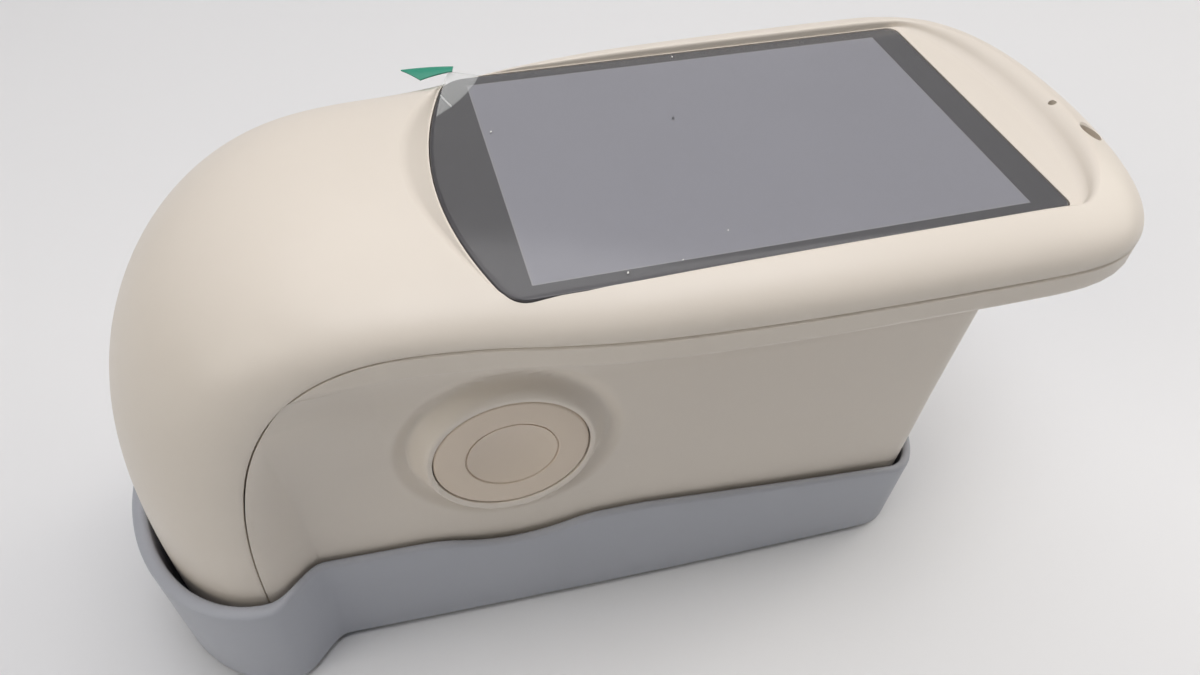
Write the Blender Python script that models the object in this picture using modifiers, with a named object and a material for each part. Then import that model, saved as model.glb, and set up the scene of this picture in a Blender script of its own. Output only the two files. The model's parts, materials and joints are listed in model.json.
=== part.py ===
"""A hand-held gloss meter standing in its charging dock, in metres, +Z up.

The instrument is drawn from the middle of its display glass: X runs to the rear overhang, Y away from the
measuring key, and Z up. One empty, display_datum, carries every piece to its place above the floor.
"""

import math

import bmesh
import bpy
from mathutils import Vector

# Running clearance between pieces that touch.
GAP = 0.0003

# Shells: where the foot, the parting line, the crown of the head and the two ends lie.
FOOT_Z = -0.080
PARTING_Z = -0.005
CROWN_Z = 0.0035
HEAD_START_X = -0.050
CREST_FOOT_X = -0.1024
PARTING_FOOT_X = -0.0832
REAR_X = 0.0618
REAR_ROUND_X = 0.035
REAR_FALL = 0.014
FOOT_HALF_WIDTH = 0.0255
NOSE_HALF_WIDTH = 0.0285
HEAD_HALF_WIDTH = 0.0355
COVER_WALL = 0.002
GRIP_WALL = 0.0022
PARTING_GAP = 0.0003

# Exponents of the curves: the crest and the parting line from the side, and the sections from nose to rear.
CREST_POWER = 3.3
PARTING_POWER = 3.15
NOSE_POWER = 1.9
SHOULDER_POWER = 2.1
HEAD_POWER = 2.7
REAR_POWER = 2.0
ROOF_POWER = 8.0

# The plan widens from the nose to the head between two stations: shares of the way and of the widening.
WIDEN_START_X = -0.060
WIDEN_END_X = 0.030
HEAD_WIDENING = (
    (0.0, 0.0), (0.044, 0.02), (0.111, 0.08), (0.189, 0.21), (0.278, 0.44),
    (0.378, 0.65), (0.5, 0.80), (0.667, 0.915), (0.833, 0.97), (1.0, 1.0),
)

# The grip: half its width at the rear, how much it narrows to the waist, and its corners.
GRIP_HALF_WIDTH = 0.025
WAIST_NARROWING = 0.003
WAIST_X = -0.072
GRIP_WIDE_X = 0.035
GRIP_REAR_X = 0.0405
GRIP_CORNER = 0.009
NOSE_RUN = 0.012

# The grip's walls lean: shares of the foot's depth, from the foot upward, and of the lean.
GRIP_LEAN = 0.0018
LEAN_SHARES = ((-1.075, -1.0), (-1.0, -0.89), (-0.7125, 0.0), (-0.525, 0.5), (-0.375, 1.0), (-0.2375, 1.5))

# The lip that carries the head: depth of its band, its edge radius and the cove under it.
LIP_DEPTH = 0.0047
LIP_RADIUS = 0.0015
COVE_HEIGHT = 0.008
COVE_REAR = 0.005
LIP_FADE_X = -0.068
LIP_FULL_X = -0.052

# Display: glass, pocket, window and the panel behind.
GLASS_HALF_WIDTH = 0.0272
GLASS_REAR_X = 0.0427
GLASS_FRONT_X = -0.046
GLASS_FRONT_BOW = 0.0058
GLASS_FRONT_CORNER = 0.0032
GLASS_CORNER = 0.002
GLASS_THICKNESS = 0.0016
WINDOW_HALF_LENGTH = 0.0383
WINDOW_HALF_WIDTH = 0.0260
POCKET_BACKING = 0.0019
POCKET_FRONT_BEVEL = 0.003
POCKET_SIDE_BEVEL = 0.0006
POCKET_REAR_X = 0.0512
POCKET_REAR_BEVEL = 0.0024
POCKET_FILLET = 0.001
PANEL_THICKNESS = 0.002
PANEL_CLEARANCE = 0.0004
ACTIVE_HALF_LENGTH = 0.03672
ACTIVE_HALF_WIDTH = 0.02448
ROOF_Z = -(GLASS_THICKNESS + GAP + POCKET_BACKING)

# The protective film, lifting at the far front corner, and its pull tab.
FILM_INSET = 0.0006
FILM_THICKNESS = 0.0002
FILM_CURL = 0.0030
FILM_CURL_X = -0.030
FILM_CURL_Y = 0.016
TAB_LENGTH = 0.0095
TAB_WIDTH = 0.0045
TAB_OVERLAP = 0.002
TAB_ANGLE = -14

# Small holes in the rear rim of the head: a pin hole for the reset and the lanyard's hole.
PIN_HOLE_X = 0.0535
PIN_HOLE_Y = -0.0048
PIN_HOLE_RADIUS = 0.0006
LANYARD_X = 0.0554
LANYARD_Y = -0.0126
LANYARD_RADIUS = 0.0019
LANYARD_POST_WALL = 0.0015

# The measuring key in the near side and the swell round it.
KEY_X = -0.0413
KEY_Z = -0.0325
KEY_RADIUS = 0.0121
KEY_DISC_RADIUS = 0.0071
KEY_DISC_SINK = 0.0005
KEY_DISH = 0.0006
KEY_GROOVE = 0.0004
KEY_EDGE = 0.0012
KEY_FACE_Y = 0.0267
KEY_DEPTH = 0.0065
KEY_WALL = 0.0016
KEY_WEB = 0.0022
KEY_FLANGE = 0.001
KEY_TRAVEL = 0.0012
PLUNGER_RADIUS = 0.0022
PLUNGER_LENGTH = 0.0051
BOSS_HEIGHT = 0.0018
BOSS_CREST = 0.0137
BOSS_FOOT = 0.0195
SWITCH_SIZE = 0.006
SWITCH_DEPTH = 0.0026
SIDE_BOARD_THICKNESS = 0.0014

# Base plate with the measuring aperture, and the optics over it: beams at two angles, each with two barrels.
BASE_THICKNESS = 0.003
BASE_SEAT = 0.0004
APERTURE_X = -0.020
APERTURE_LENGTH = 0.026
APERTURE_WIDTH = 0.012
APERTURE_RIM = 0.003
PANE_THICKNESS = 0.001
OPTICS_HALF_LENGTH = 0.036
OPTICS_HALF_WIDTH = 0.016
OPTICS_HEIGHT = 0.026
OPTICS_EDGE = 0.001
BEAM_ANGLES = (20, 60)
BEAM_LANE = 0.0075
BORE_RADIUS = 0.0042
BARREL_LENGTH = 0.010
BARREL_STEP = 0.001

# Screws and the housing's posts that they go into.
POST_RADIUS = 0.0038
POST_HEIGHT = 0.012
POST_CLEARANCE = 0.0022
FRONT_POST_Y = 0.0155
REAR_POST_X = 0.033
REAR_POST_Y = 0.018
SCREW_RADIUS = 0.0011
SCREW_HEAD_RADIUS = 0.0021
SCREW_HEAD_HEIGHT = 0.0012
SCREW_LENGTH = 0.008

# Display bracket, main board and battery.
BRACKET_THICKNESS = 0.0012
BRACKET_HALF_LENGTH = 0.0405
BRACKET_HALF_WIDTH = 0.0278
BRACKET_POST_RADIUS = 0.0024
BRACKET_POST_Y = 0.0178
BRACKET_FRONT_X = -0.036
BRACKET_REAR_X = 0.028
BOARD_X = -0.008
BOARD_LENGTH = 0.078
BOARD_WIDTH = 0.042
BOARD_THICKNESS = 0.0016
BOARD_DROP = 0.008
BATTERY_RADIUS = 0.0092
BATTERY_LENGTH = 0.065
BATTERY_X = 0.001
CELL_CAP = 0.001
TRAY_WALL = 0.0015
TRAY_CLEARANCE = 0.0003

# Charging socket in the rear wall.
SOCKET_Z = -0.024
SOCKET_WIDTH = 0.0090
SOCKET_HEIGHT = 0.0033
SOCKET_DEPTH = 0.0074
SOCKET_WALL = 0.0004

# Dock: its wall stands a clearance outside the instrument, thicker and further out round the nose.
DOCK_CLEARANCE = 0.0003
DOCK_WALL = 0.0016
DOCK_NOSE_EXTRA = 0.0013
DOCK_TIP_REACH = 0.003
DOCK_NOSE_WALL = 0.0008
DOCK_RIM_Z = -0.057
DOCK_RIM_FALL_X = -0.018
DOCK_RIM_SLOPE = 0.105
DOCK_KEY_RING = 0.0272
DOCK_FLOOR_DROP = 0.002
DOCK_FLOOR = 0.002
DOCK_TAPER = 0.0012
DOCK_EDGE = 0.0015
DOCK_FOOT_RADIUS = 0.005
DOCK_FOOT_HEIGHT = 0.001
DOCK_FOOT_Y = 0.014
DOCK_FOOT_FRONT_X = -0.078
DOCK_FOOT_REAR_X = 0.030

# Calibration tile in the dock's floor, under the aperture.
TILE_LENGTH = 0.040
TILE_WIDTH = 0.022
TILE_BORDER = 0.003
TILE_SINK = 0.0004

# Heights that follow from these, and the place of the display over the middle of the dock's footprint.
LIP_TOP_Z = PARTING_Z - PARTING_GAP
LIP_FOOT_Z = PARTING_Z - LIP_DEPTH
COVE_TOP_Z = LIP_FOOT_Z - GAP
COVE_FOOT_Z = COVE_TOP_Z - COVE_HEIGHT
DOCK_FLOOR_Z = FOOT_Z - DOCK_FLOOR_DROP
DOCK_UNDERSIDE_Z = DOCK_FLOOR_Z - DOCK_FLOOR
DISPLAY_HEIGHT = DOCK_FOOT_HEIGHT - DOCK_UNDERSIDE_Z
DISPLAY_SHIFT = -(CREST_FOOT_X - DOCK_TIP_REACH + REAR_X) / 2

SHELL = (0.82, 0.77, 0.70)
TAN = (0.56, 0.43, 0.34)
GREY = (0.42, 0.44, 0.46)
BLACK = (0.03, 0.03, 0.035)
METAL = (0.72, 0.72, 0.74)
BOARD_GREEN = (0.03, 0.22, 0.10)
GLASS_GREY = (0.14, 0.14, 0.15)
PANEL_GREY = (0.30, 0.30, 0.32)
FILM_WHITE = (0.9, 0.9, 0.92)
TAB_GREEN = (0.05, 0.42, 0.28)


def clear_scene():
    """Empty the scene and give back the collections for the pieces and for the cutters."""
    for item in list(bpy.data.objects):
        bpy.data.objects.remove(item, do_unlink=True)
    pieces = bpy.data.collections.new("gloss_meter")
    cutters = bpy.data.collections.new("cutters")
    for group in (pieces, cutters):
        bpy.context.scene.collection.children.link(group)
    datum = bpy.data.objects.new("display_datum", None)
    datum.location = (DISPLAY_SHIFT, 0.0, DISPLAY_HEIGHT)
    pieces.objects.link(datum)
    return pieces, cutters, datum


PIECES, CUTTERS, DATUM = clear_scene()


def finish(name, colour, roughness=0.5, metallic=0.0, alpha=1.0):
    """A Principled material of one colour."""
    material = bpy.data.materials.new(name)
    material.use_nodes = True
    shader = material.node_tree.nodes["Principled BSDF"]
    shader.inputs["Base Color"].default_value = (*colour, 1.0)
    shader.inputs["Roughness"].default_value = roughness
    shader.inputs["Metallic"].default_value = metallic
    shader.inputs["Alpha"].default_value = alpha
    return material


def adopt(name, mesh, material=None, at=(0, 0, 0), turn=(0, 0, 0)):
    """Put a mesh in the scene as a piece, or as a hidden cutter if it has no material."""
    item = bpy.data.objects.new(name, mesh)
    item.parent = DATUM
    item.location = at
    item.rotation_euler = turn
    if material is None:
        CUTTERS.objects.link(item)
        item.hide_render = True
        item.display_type = "WIRE"
    else:
        PIECES.objects.link(item)
        mesh.materials.append(material)
    return item


def mesh_from(name, work):
    """A mesh from a bmesh, faces outward."""
    bmesh.ops.recalc_face_normals(work, faces=work.faces)
    mesh = bpy.data.meshes.new(name)
    work.to_mesh(mesh)
    work.free()
    mesh.shade_smooth()
    mesh.set_sharp_from_angle(angle=math.radians(35))
    return mesh


def lofted(name, rings):
    """A closed mesh through rings of equally many points, with flat caps on its two ends."""
    work = bmesh.new()
    loops = [[work.verts.new(point) for point in ring] for ring in rings]
    for lower, upper in zip(loops, loops[1:]):
        for here in range(len(lower)):
            there = (here + 1) % len(lower)
            work.faces.new((lower[here], lower[there], upper[there], upper[here]))
    work.faces.new(reversed(loops[0]))
    work.faces.new(loops[-1])
    return mesh_from(name, work)


def prism(name, outline, low, high, axis="Z"):
    """A closed prism over an outline of (a, b) pairs: along Z over XY, or along Y over XZ."""
    if axis == "Z":
        rings = [[(a, b, level) for a, b in outline] for level in (low, high)]
    else:
        rings = [[(a, level, b) for a, b in outline] for level in (low, high)]
    return lofted(name, rings)


def box(name, size, material=None, at=(0, 0, 0), turn=(0, 0, 0), rounding=0.0):
    """A box around its own middle, with rounded edges where asked."""
    work = bmesh.new()
    bmesh.ops.create_cube(work, size=1.0)
    bmesh.ops.scale(work, vec=size, verts=work.verts)
    if rounding:
        bmesh.ops.bevel(work, geom=work.edges, offset=rounding, segments=2, profile=0.5, affect="EDGES")
    return adopt(name, mesh_from(name, work), material, at, turn)


def rod(name, radius, length, material=None, at=(0, 0, 0), turn=(0, 0, 0), sides=32, tip=None):
    """A cylinder, or a cone where a tip radius is given, around its own middle along its Z."""
    work = bmesh.new()
    bmesh.ops.create_cone(
        work, cap_ends=True, segments=sides, radius1=radius,
        radius2=radius if tip is None else tip, depth=length,
    )
    return adopt(name, mesh_from(name, work), material, at, turn)


def turned(name, profile, material, at=(0, 0, 0), turn=(0, 0, 0), sides=48):
    """A solid of revolution from a profile of (radius, height) pairs, down its outer side, axis to axis."""
    mesh = bpy.data.meshes.new(name)
    mesh.from_pydata([(r, 0, z) for r, z in profile], [(i, i + 1) for i in range(len(profile) - 1)], [])
    item = adopt(name, mesh, material, at, turn)
    screw = item.modifiers.new("turn", "SCREW")
    screw.axis = "Z"
    screw.steps = sides
    screw.render_steps = sides
    screw.use_merge_vertices = True
    screw.merge_threshold = 0.00001
    screw.use_smooth_shade = True
    return item


def combine(item, tool, operation="DIFFERENCE"):
    """Cut a tool out of a piece, or join it on."""
    step = item.modifiers.new(tool.name, "BOOLEAN")
    step.operation = operation
    step.object = tool
    step.solver = "EXACT"
    return item


def eased(share):
    """A smooth step from 0 to 1."""
    share = min(max(share, 0.0), 1.0)
    return share * share * (3 - 2 * share)


def through(stations, x):
    """The value at x of a smooth curve through (x, value) stations in rising order."""
    if x <= stations[0][0]:
        return stations[0][1]
    if x >= stations[-1][0]:
        return stations[-1][1]
    i = max(k for k, station in enumerate(stations) if station[0] <= x)

    def slope(k):
        first, last = max(k - 1, 0), min(k + 1, len(stations) - 1)
        rise = stations[last][1] - stations[first][1]
        return rise / (stations[last][0] - stations[first][0])

    (x0, y0), (x1, y1) = stations[i], stations[i + 1]
    span = x1 - x0
    t = (x - x0) / span
    curve = (2 * t**3 - 3 * t**2 + 1) * y0 + (t**3 - 2 * t**2 + t) * span * slope(i)
    return curve + (3 * t**2 - 2 * t**3) * y1 + (t**3 - t**2) * span * slope(i + 1)


def nose_half_width(z):
    """Half the width along the parting line of the nose at height z."""
    share = min(max((z - FOOT_Z) / (PARTING_Z - FOOT_Z), 0.0), 1.0)
    return FOOT_HALF_WIDTH + (NOSE_HALF_WIDTH - FOOT_HALF_WIDTH) * (1 - (1 - share) ** 1.6)


def head_half_width(x, inset=0.0):
    """Half the width of the head in plan at x, closing to a point at the rear."""
    way = (x - WIDEN_START_X) / (WIDEN_END_X - WIDEN_START_X)
    width = NOSE_HALF_WIDTH + (HEAD_HALF_WIDTH - NOSE_HALF_WIDTH) * through(HEAD_WIDENING, way) - inset
    share = (x - REAR_ROUND_X) / (REAR_X - inset - REAR_ROUND_X)
    return width * (1 - min(max(share, 0.0), 1.0) ** 3) ** (1 / 3)


def parting_x(z):
    """Where the parting line of the nose lies at height z."""
    share = min(max((z - FOOT_Z) / (PARTING_Z - FOOT_Z), 0.0), 1.0)
    return HEAD_START_X + (PARTING_FOOT_X - HEAD_START_X) * (1 - share**PARTING_POWER) ** (1 / PARTING_POWER)


def nose_point(foot_x, top_z, power, angle):
    """A point of the nose's parting line or crest, from its foot at angle 0 to the head at a right angle."""
    reach = max(math.cos(angle), 0.0) ** (2 / power)
    rise = math.sin(angle) ** (2 / power)
    return Vector((HEAD_START_X + (foot_x - HEAD_START_X) * reach, 0.0, FOOT_Z + (top_z - FOOT_Z) * rise))


def section(foot, crest, half_width, power, skirt=0.0, steps=24):
    """One half of a superellipse from the parting line over the crest, closed straight across below."""
    rise = crest - foot
    ring = []
    for step in range(steps + 1):
        angle = math.pi * step / steps
        across = math.copysign(abs(math.cos(angle)) ** (2 / power), math.cos(angle))
        ring.append(foot + rise * math.sin(angle) ** (2 / power) + Vector((0.0, half_width * across, 0.0)))
    if skirt:
        drop = rise.normalized() * skirt
        ring = [ring[0] - drop, *ring, ring[-1] - drop]
    return ring


def spread(low, high, count):
    """count + 1 values from low to high at even steps."""
    return [low + (high - low) * step / count for step in range(count + 1)]


# Where the hood is read: angles round the nose, shares of the way along the head, angles round its rear end.
HOOD_ANGLES = (0, 4, 9, 15, 22, 30, 38, 47, 56, 65, 73, 80, 85.5, 89)
HEAD_SHARES = (0.0, 0.07, 0.15, 0.25, 0.35, 0.48, 0.65, 0.83)
REAR_ANGLES = (0, 14, 27, 39, 50, 59, 67, 74, 80, 84.5, 87.5)


def head_crown(x):
    """Height of the head's crest at x, falling round to the parting line at the rear."""
    fall = min(max((x - (REAR_X - REAR_FALL)) / REAR_FALL, 0.0), 1.0)
    return PARTING_Z + (CROWN_Z - PARTING_Z) * math.sqrt(1 - fall**2)


def head_power(x):
    """Exponent of the head's section at x."""
    growth = eased((x - HEAD_START_X) / (REAR_ROUND_X - HEAD_START_X) * 2)
    ending = eased((x - REAR_ROUND_X) / (REAR_X - REAR_ROUND_X))
    return SHOULDER_POWER + (HEAD_POWER - SHOULDER_POWER) * growth + (REAR_POWER - HEAD_POWER) * ending


def hood_rings(inset=0.0):
    """Sections of the hood from the foot of the nose round the shoulder to the rear end."""
    skirt = 1.5 * inset
    rings = []
    for degrees in HOOD_ANGLES:
        angle = math.radians(degrees)
        foot = nose_point(PARTING_FOOT_X, PARTING_Z, PARTING_POWER, angle)
        crest = nose_point(CREST_FOOT_X, CROWN_Z, CREST_POWER, angle)
        width = nose_half_width(foot.z) - inset
        power = NOSE_POWER + (SHOULDER_POWER - NOSE_POWER) * math.sin(angle) ** 2
        if inset:
            crest -= (crest - foot).normalized() * inset
            share = eased((degrees - 70) / 18)
            crest.z += (ROOF_Z - crest.z) * share
            power += (ROOF_POWER - power) * share
        rings.append(section(foot, crest, width, power, skirt))
    if inset:
        rings.insert(0, [point + Vector((0, 0, -2 * BASE_THICKNESS)) for point in rings[0]])
    end = REAR_X - inset
    stations = [HEAD_START_X + (REAR_ROUND_X - HEAD_START_X) * share for share in HEAD_SHARES]
    stations += [REAR_ROUND_X + (end - REAR_ROUND_X) * math.sin(math.radians(a)) for a in REAR_ANGLES]
    for x in stations:
        foot = Vector((x, 0.0, PARTING_Z))
        crest = Vector((x, 0.0, ROOF_Z if inset else head_crown(x)))
        power = ROOF_POWER if inset else head_power(x)
        rings.append(section(foot, crest, head_half_width(x, inset), power, skirt))
    return rings


def rounded(corners, steps=4):
    """An outline through (x, y, radius) corners, each rounded by its radius."""
    outline = []
    for here, (x, y, radius) in enumerate(corners):
        if not radius:
            outline.append((x, y))
            continue
        middle = Vector((x, y))
        before = (Vector(corners[here - 1][:2]) - middle).normalized()
        after = (Vector(corners[(here + 1) % len(corners)][:2]) - middle).normalized()
        half = before.angle(after) / 2
        centre = middle + (before + after).normalized() * radius / math.sin(half)
        start = middle + before * radius / math.tan(half) - centre
        finish_at = middle + after * radius / math.tan(half) - centre
        sweep = start.angle_signed(finish_at)
        for step in range(steps + 1):
            cosine, sine = math.cos(-sweep * step / steps), math.sin(-sweep * step / steps)
            x_turned = start.x * cosine - start.y * sine
            y_turned = start.x * sine + start.y * cosine
            outline.append((centre.x + x_turned, centre.y + y_turned))
    return outline


def rectangle(length, width, radius=0.0, x=0.0, y=0.0, steps=4):
    """A rectangle with round corners around (x, y)."""
    signs = ((-1, -1), (1, -1), (1, 1), (-1, 1))
    return rounded([(x + length / 2 * a, y + width / 2 * b, radius) for a, b in signs], steps)


def corners(front_x, rear_x, front_y, rear_y=None):
    """Four places, two abreast in front and two behind."""
    rear_y = front_y if rear_y is None else rear_y
    return (front_x, front_y), (front_x, -front_y), (rear_x, rear_y), (rear_x, -rear_y)


def front_arc(offset, extra=0.0, steps=12, corner_steps=4):
    """The bowed front edge of the glass from +Y to -Y with its round corners, moved out by offset.

    Its middle is moved out by extra more.
    """
    half = GLASS_HALF_WIDTH + offset
    corner_x = GLASS_FRONT_X + GLASS_FRONT_BOW - offset
    reach = half - GLASS_FRONT_CORNER

    def bowed(y):
        return corner_x - (GLASS_FRONT_BOW + extra) * (1 - (y / half) ** 2)

    def corner(side):
        start, control, end = (corner_x + GLASS_FRONT_CORNER, half), (corner_x, half), (bowed(reach), reach)
        points = []
        for step in range(corner_steps):
            t = step / corner_steps
            weights = ((1 - t) ** 2, 2 * t * (1 - t), t**2)
            x, y = (sum(w * p[i] for w, p in zip(weights, (start, control, end))) for i in (0, 1))
            points.append((x, side * y))
        return points

    arc = [(bowed(y), y) for y in spread(reach, -reach, steps)]
    return [*corner(1), *arc, *reversed(corner(-1))]


def glass_outline(offset=0.0):
    """The glass in plan: a bowed front, straight sides and a straight rear edge with small corners."""
    half = GLASS_HALF_WIDTH + offset
    rear = GLASS_REAR_X + offset
    arc = [(x, y, 0.0) for x, y in front_arc(offset)]
    return rounded([*arc, (rear, -half, GLASS_CORNER), (rear, half, GLASS_CORNER)])


def pocket_ring(level, front_extra, side_extra, rear_reach, steps=20):
    """The pocket in plan at one height: the glass outline in front, half an ellipse behind."""
    ring = [(x, y, level) for x, y in front_arc(2 * GAP + side_extra, front_extra)]
    half = GLASS_HALF_WIDTH + 2 * GAP + side_extra
    for angle in spread(-math.pi / 2, math.pi / 2, steps):
        ring.append((GLASS_REAR_X + rear_reach * math.cos(angle), half * math.sin(angle), level))
    return ring


def make_top_cover(shell):
    """The hood: one moulding from the nose to the rear overhang, with the pocket for the glass."""
    cover = adopt("top_cover", lofted("top_cover", hood_rings()), shell)
    combine(cover, adopt("cover_hollow", lofted("cover_hollow", hood_rings(COVER_WALL))))
    reach = POCKET_REAR_X - GLASS_REAR_X
    slope = POCKET_FRONT_BEVEL / CROWN_Z
    high = 2 * CROWN_Z
    steps = (
        (0.0, 0.0, -POCKET_FILLET),
        (0.3 * POCKET_FILLET, 0.0, -0.3 * POCKET_FILLET),
        (POCKET_FILLET, POCKET_SIDE_BEVEL / 3, 0.2 * POCKET_FILLET),
        (high, 2 * POCKET_SIDE_BEVEL, 2 * POCKET_REAR_BEVEL),
    )
    rings = [pocket_ring(level, slope * level, side, reach + rear) for level, side, rear in steps]
    combine(cover, adopt("pocket", lofted("pocket", rings)))
    seat = -(GLASS_THICKNESS + GAP)
    combine(cover, adopt("glass_seat", prism("glass_seat", glass_outline(GAP), seat, GAP)))
    window = rectangle(2 * WINDOW_HALF_LENGTH, 2 * WINDOW_HALF_WIDTH, GLASS_CORNER / 2)
    combine(cover, adopt("window", prism("window", window, 2 * ROOF_Z, seat / 2)))
    depth = CROWN_Z - PARTING_Z
    holes = (
        ("pin_hole", PIN_HOLE_X, PIN_HOLE_Y, PIN_HOLE_RADIUS),
        ("lanyard_hole", LANYARD_X, LANYARD_Y, LANYARD_RADIUS),
    )
    for name, x, y, radius in holes:
        combine(cover, rod(name, radius, 3 * depth, at=(x, y, CROWN_Z), sides=16))
    return cover


def grip_lean(z):
    """How far the grip's walls lean out at height z."""
    return GRIP_LEAN * through(LEAN_SHARES, -z / FOOT_Z)


def grip_half_width(x, z):
    """Half the width of the grip's wall at x and height z, swelling to the nose at the parting line."""
    share = min(max((GRIP_WIDE_X - x) / (GRIP_WIDE_X - WAIST_X), 0.0), 1.3)
    body = GRIP_HALF_WIDTH - WAIST_NARROWING * share**1.6 + grip_lean(z)
    forward = 1 - eased((x - parting_x(z) - GAP) / NOSE_RUN)
    return body + (nose_half_width(z) - body) * forward


def key_swell(x, z):
    """How far the near wall swells round the measuring key."""
    distance = math.hypot(x - KEY_X, z - KEY_Z)
    return BOSS_HEIGHT * (1 - eased((distance - BOSS_CREST) / (BOSS_FOOT - BOSS_CREST)))


def closed_end(x, width, end, corner, power=2.3):
    """Width drawn in to nothing over a corner's length before the end."""
    share = min(max((x - end + corner) / corner, 0.0), 1.0)
    return width * (1 - share**power) ** (1 / power)


NOSE_STATIONS = [
    CREST_FOOT_X - (CREST_FOOT_X - PARTING_FOOT_X) / 2.3,
    *spread(PARTING_FOOT_X, PARTING_FOOT_X + NOSE_RUN, 5),
]
REAR_STATIONS = spread(KEY_X + BOSS_FOOT, GRIP_REAR_X - 1.5 * GRIP_CORNER, 4)[1:]
NEAR_STATIONS = [*NOSE_STATIONS, *spread(KEY_X - BOSS_FOOT, KEY_X + BOSS_FOOT, 12), *REAR_STATIONS]
FAR_STATIONS = [*NOSE_STATIONS, *spread(KEY_X - BOSS_FOOT, KEY_X + BOSS_FOOT, 4), *REAR_STATIONS]
END_SHARES = (0.25, 0.45, 0.6, 0.72, 0.82, 0.9, 0.96, 0.99, 1.0)


def plan_ring(level, half_width, end, swell=None, near=NEAR_STATIONS, far=FAR_STATIONS):
    """A plan outline at one level: along the near side to the rear end and back along the far side."""
    tail = [near[-1] + (end - near[-1]) * share for share in END_SHARES]
    ring = []
    for x in [*near, *tail]:
        extra = swell(x, level) if swell and x < end - GRIP_CORNER else 0.0
        ring.append(Vector((x, -half_width(x) - extra, level)))
    ring += [Vector((x, half_width(x), level)) for x in reversed([*far, *tail[:-1]])]
    return ring


def lip_fade(x):
    """0 where the lip runs flush into the nose, 1 where it stands full."""
    return eased((x - LIP_FADE_X) / (LIP_FULL_X - LIP_FADE_X))


GRIP_LEVELS = [*spread(FOOT_Z, KEY_Z - BOSS_FOOT, 3), *spread(KEY_Z - BOSS_FOOT, COVE_FOOT_Z, 11)[1:-1]]
COVE_SHARES = (0.0, 0.35, 0.6, 0.8, 0.93, 1.0)


def grip_rings():
    """The outside of the grip, the cove over it and the lip that carries the head, from the foot upward."""
    rings = []

    def wall(z, x):
        return closed_end(x, grip_half_width(x, z), GRIP_REAR_X, GRIP_CORNER)

    for z in GRIP_LEVELS:
        rings.append(plan_ring(z, lambda x, z=z: wall(z, x), GRIP_REAR_X, key_swell))
    for share in COVE_SHARES:
        z = COVE_FOOT_Z + COVE_HEIGHT * share
        bow = 1 - math.sqrt(1 - share**2)
        end = GRIP_REAR_X + COVE_REAR * bow

        def cove(x, z=z, bow=bow, end=end):
            grip = grip_half_width(x, z)
            reach = max(head_half_width(min(x, REAR_ROUND_X)) - LIP_RADIUS * lip_fade(x) - grip, 0.0)
            return closed_end(x, grip + reach * bow, end, GRIP_CORNER + COVE_REAR * bow)

        rings.append(plan_ring(z, cove, end, key_swell))
    for degrees in (0, 30, 60, 90):
        angle = math.radians(degrees)
        inset = LIP_RADIUS * (1 - math.sin(angle))
        z = LIP_FOOT_Z + LIP_RADIUS * (1 - math.cos(angle))
        rings.append(plan_ring(z, lambda x, i=inset: lip_half_width(x, i), REAR_X - inset))
    rings.append(plan_ring(PARTING_Z, lambda x: lip_half_width(x, 0.0), REAR_X))
    return rings


def lip_half_width(x, inset):
    """Half the width of the lip at x, set in by its edge radius where it stands proud of the nose."""
    if x > HEAD_START_X:
        return head_half_width(x, inset)
    return head_half_width(x) - inset * lip_fade(x)


INNER_STATIONS = [*NOSE_STATIONS[::2], *spread(KEY_X - BOSS_FOOT, REAR_STATIONS[-1], 5)]


def grip_hollow_rings():
    """The inside of the grip, open at the foot, and the shallow pan in the lip, open at the parting line."""
    rings = []
    end = GRIP_REAR_X - GRIP_WALL
    pan_floor = LIP_FOOT_Z + COVER_WALL
    levels = [FOOT_Z - BASE_THICKNESS, *spread(FOOT_Z, COVE_FOOT_Z, 5)[1:], pan_floor - GAP]
    for z in levels:
        level = min(z, COVE_FOOT_Z)

        def wall(x, level=level):
            return closed_end(x, grip_half_width(x, level) - GRIP_WALL, end, GRIP_CORNER - GRIP_WALL)

        rings.append(plan_ring(z, wall, end, near=INNER_STATIONS, far=INNER_STATIONS))
    for z in (pan_floor, 0.0):
        pan = plan_ring(
            z, lambda x: head_half_width(x, GRIP_WALL), REAR_X - GRIP_WALL, None, INNER_STATIONS, INNER_STATIONS,
        )
        rings.append(pan)
    return rings


def parting_outline():
    """Everything above and before the parting line, seen from the side."""
    points = []
    for degrees in HOOD_ANGLES:
        foot = nose_point(PARTING_FOOT_X, PARTING_Z, PARTING_POWER, math.radians(degrees))
        points.append(foot)
    points.append(Vector((HEAD_START_X, 0.0, PARTING_Z)))
    shifted = []
    for here, point in enumerate(points):
        along = points[min(here + 1, len(points) - 1)] - points[max(here - 1, 0)]
        across = Vector((along.z, 0.0, -along.x)).normalized()
        shifted.append(point + across * PARTING_GAP)
    shifted.insert(0, shifted[0] + Vector((0.0, 0.0, -2 * BASE_THICKNESS)))
    shifted.append(Vector((REAR_X + NOSE_RUN, 0.0, PARTING_Z - PARTING_GAP)))
    outline = [(point.x, point.z) for point in shifted]
    low, high = outline[0][1], 2 * CROWN_Z
    return [*outline, (REAR_X + NOSE_RUN, high), (2 * PARTING_FOOT_X, high), (2 * PARTING_FOOT_X, low)]


def post_places():
    """Places of the housing's posts and the base plate's screws, clear of the optics block in front."""
    front_x = APERTURE_X - OPTICS_HALF_LENGTH - POST_RADIUS - POST_CLEARANCE
    return corners(front_x, REAR_POST_X, FRONT_POST_Y, REAR_POST_Y)


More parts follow.
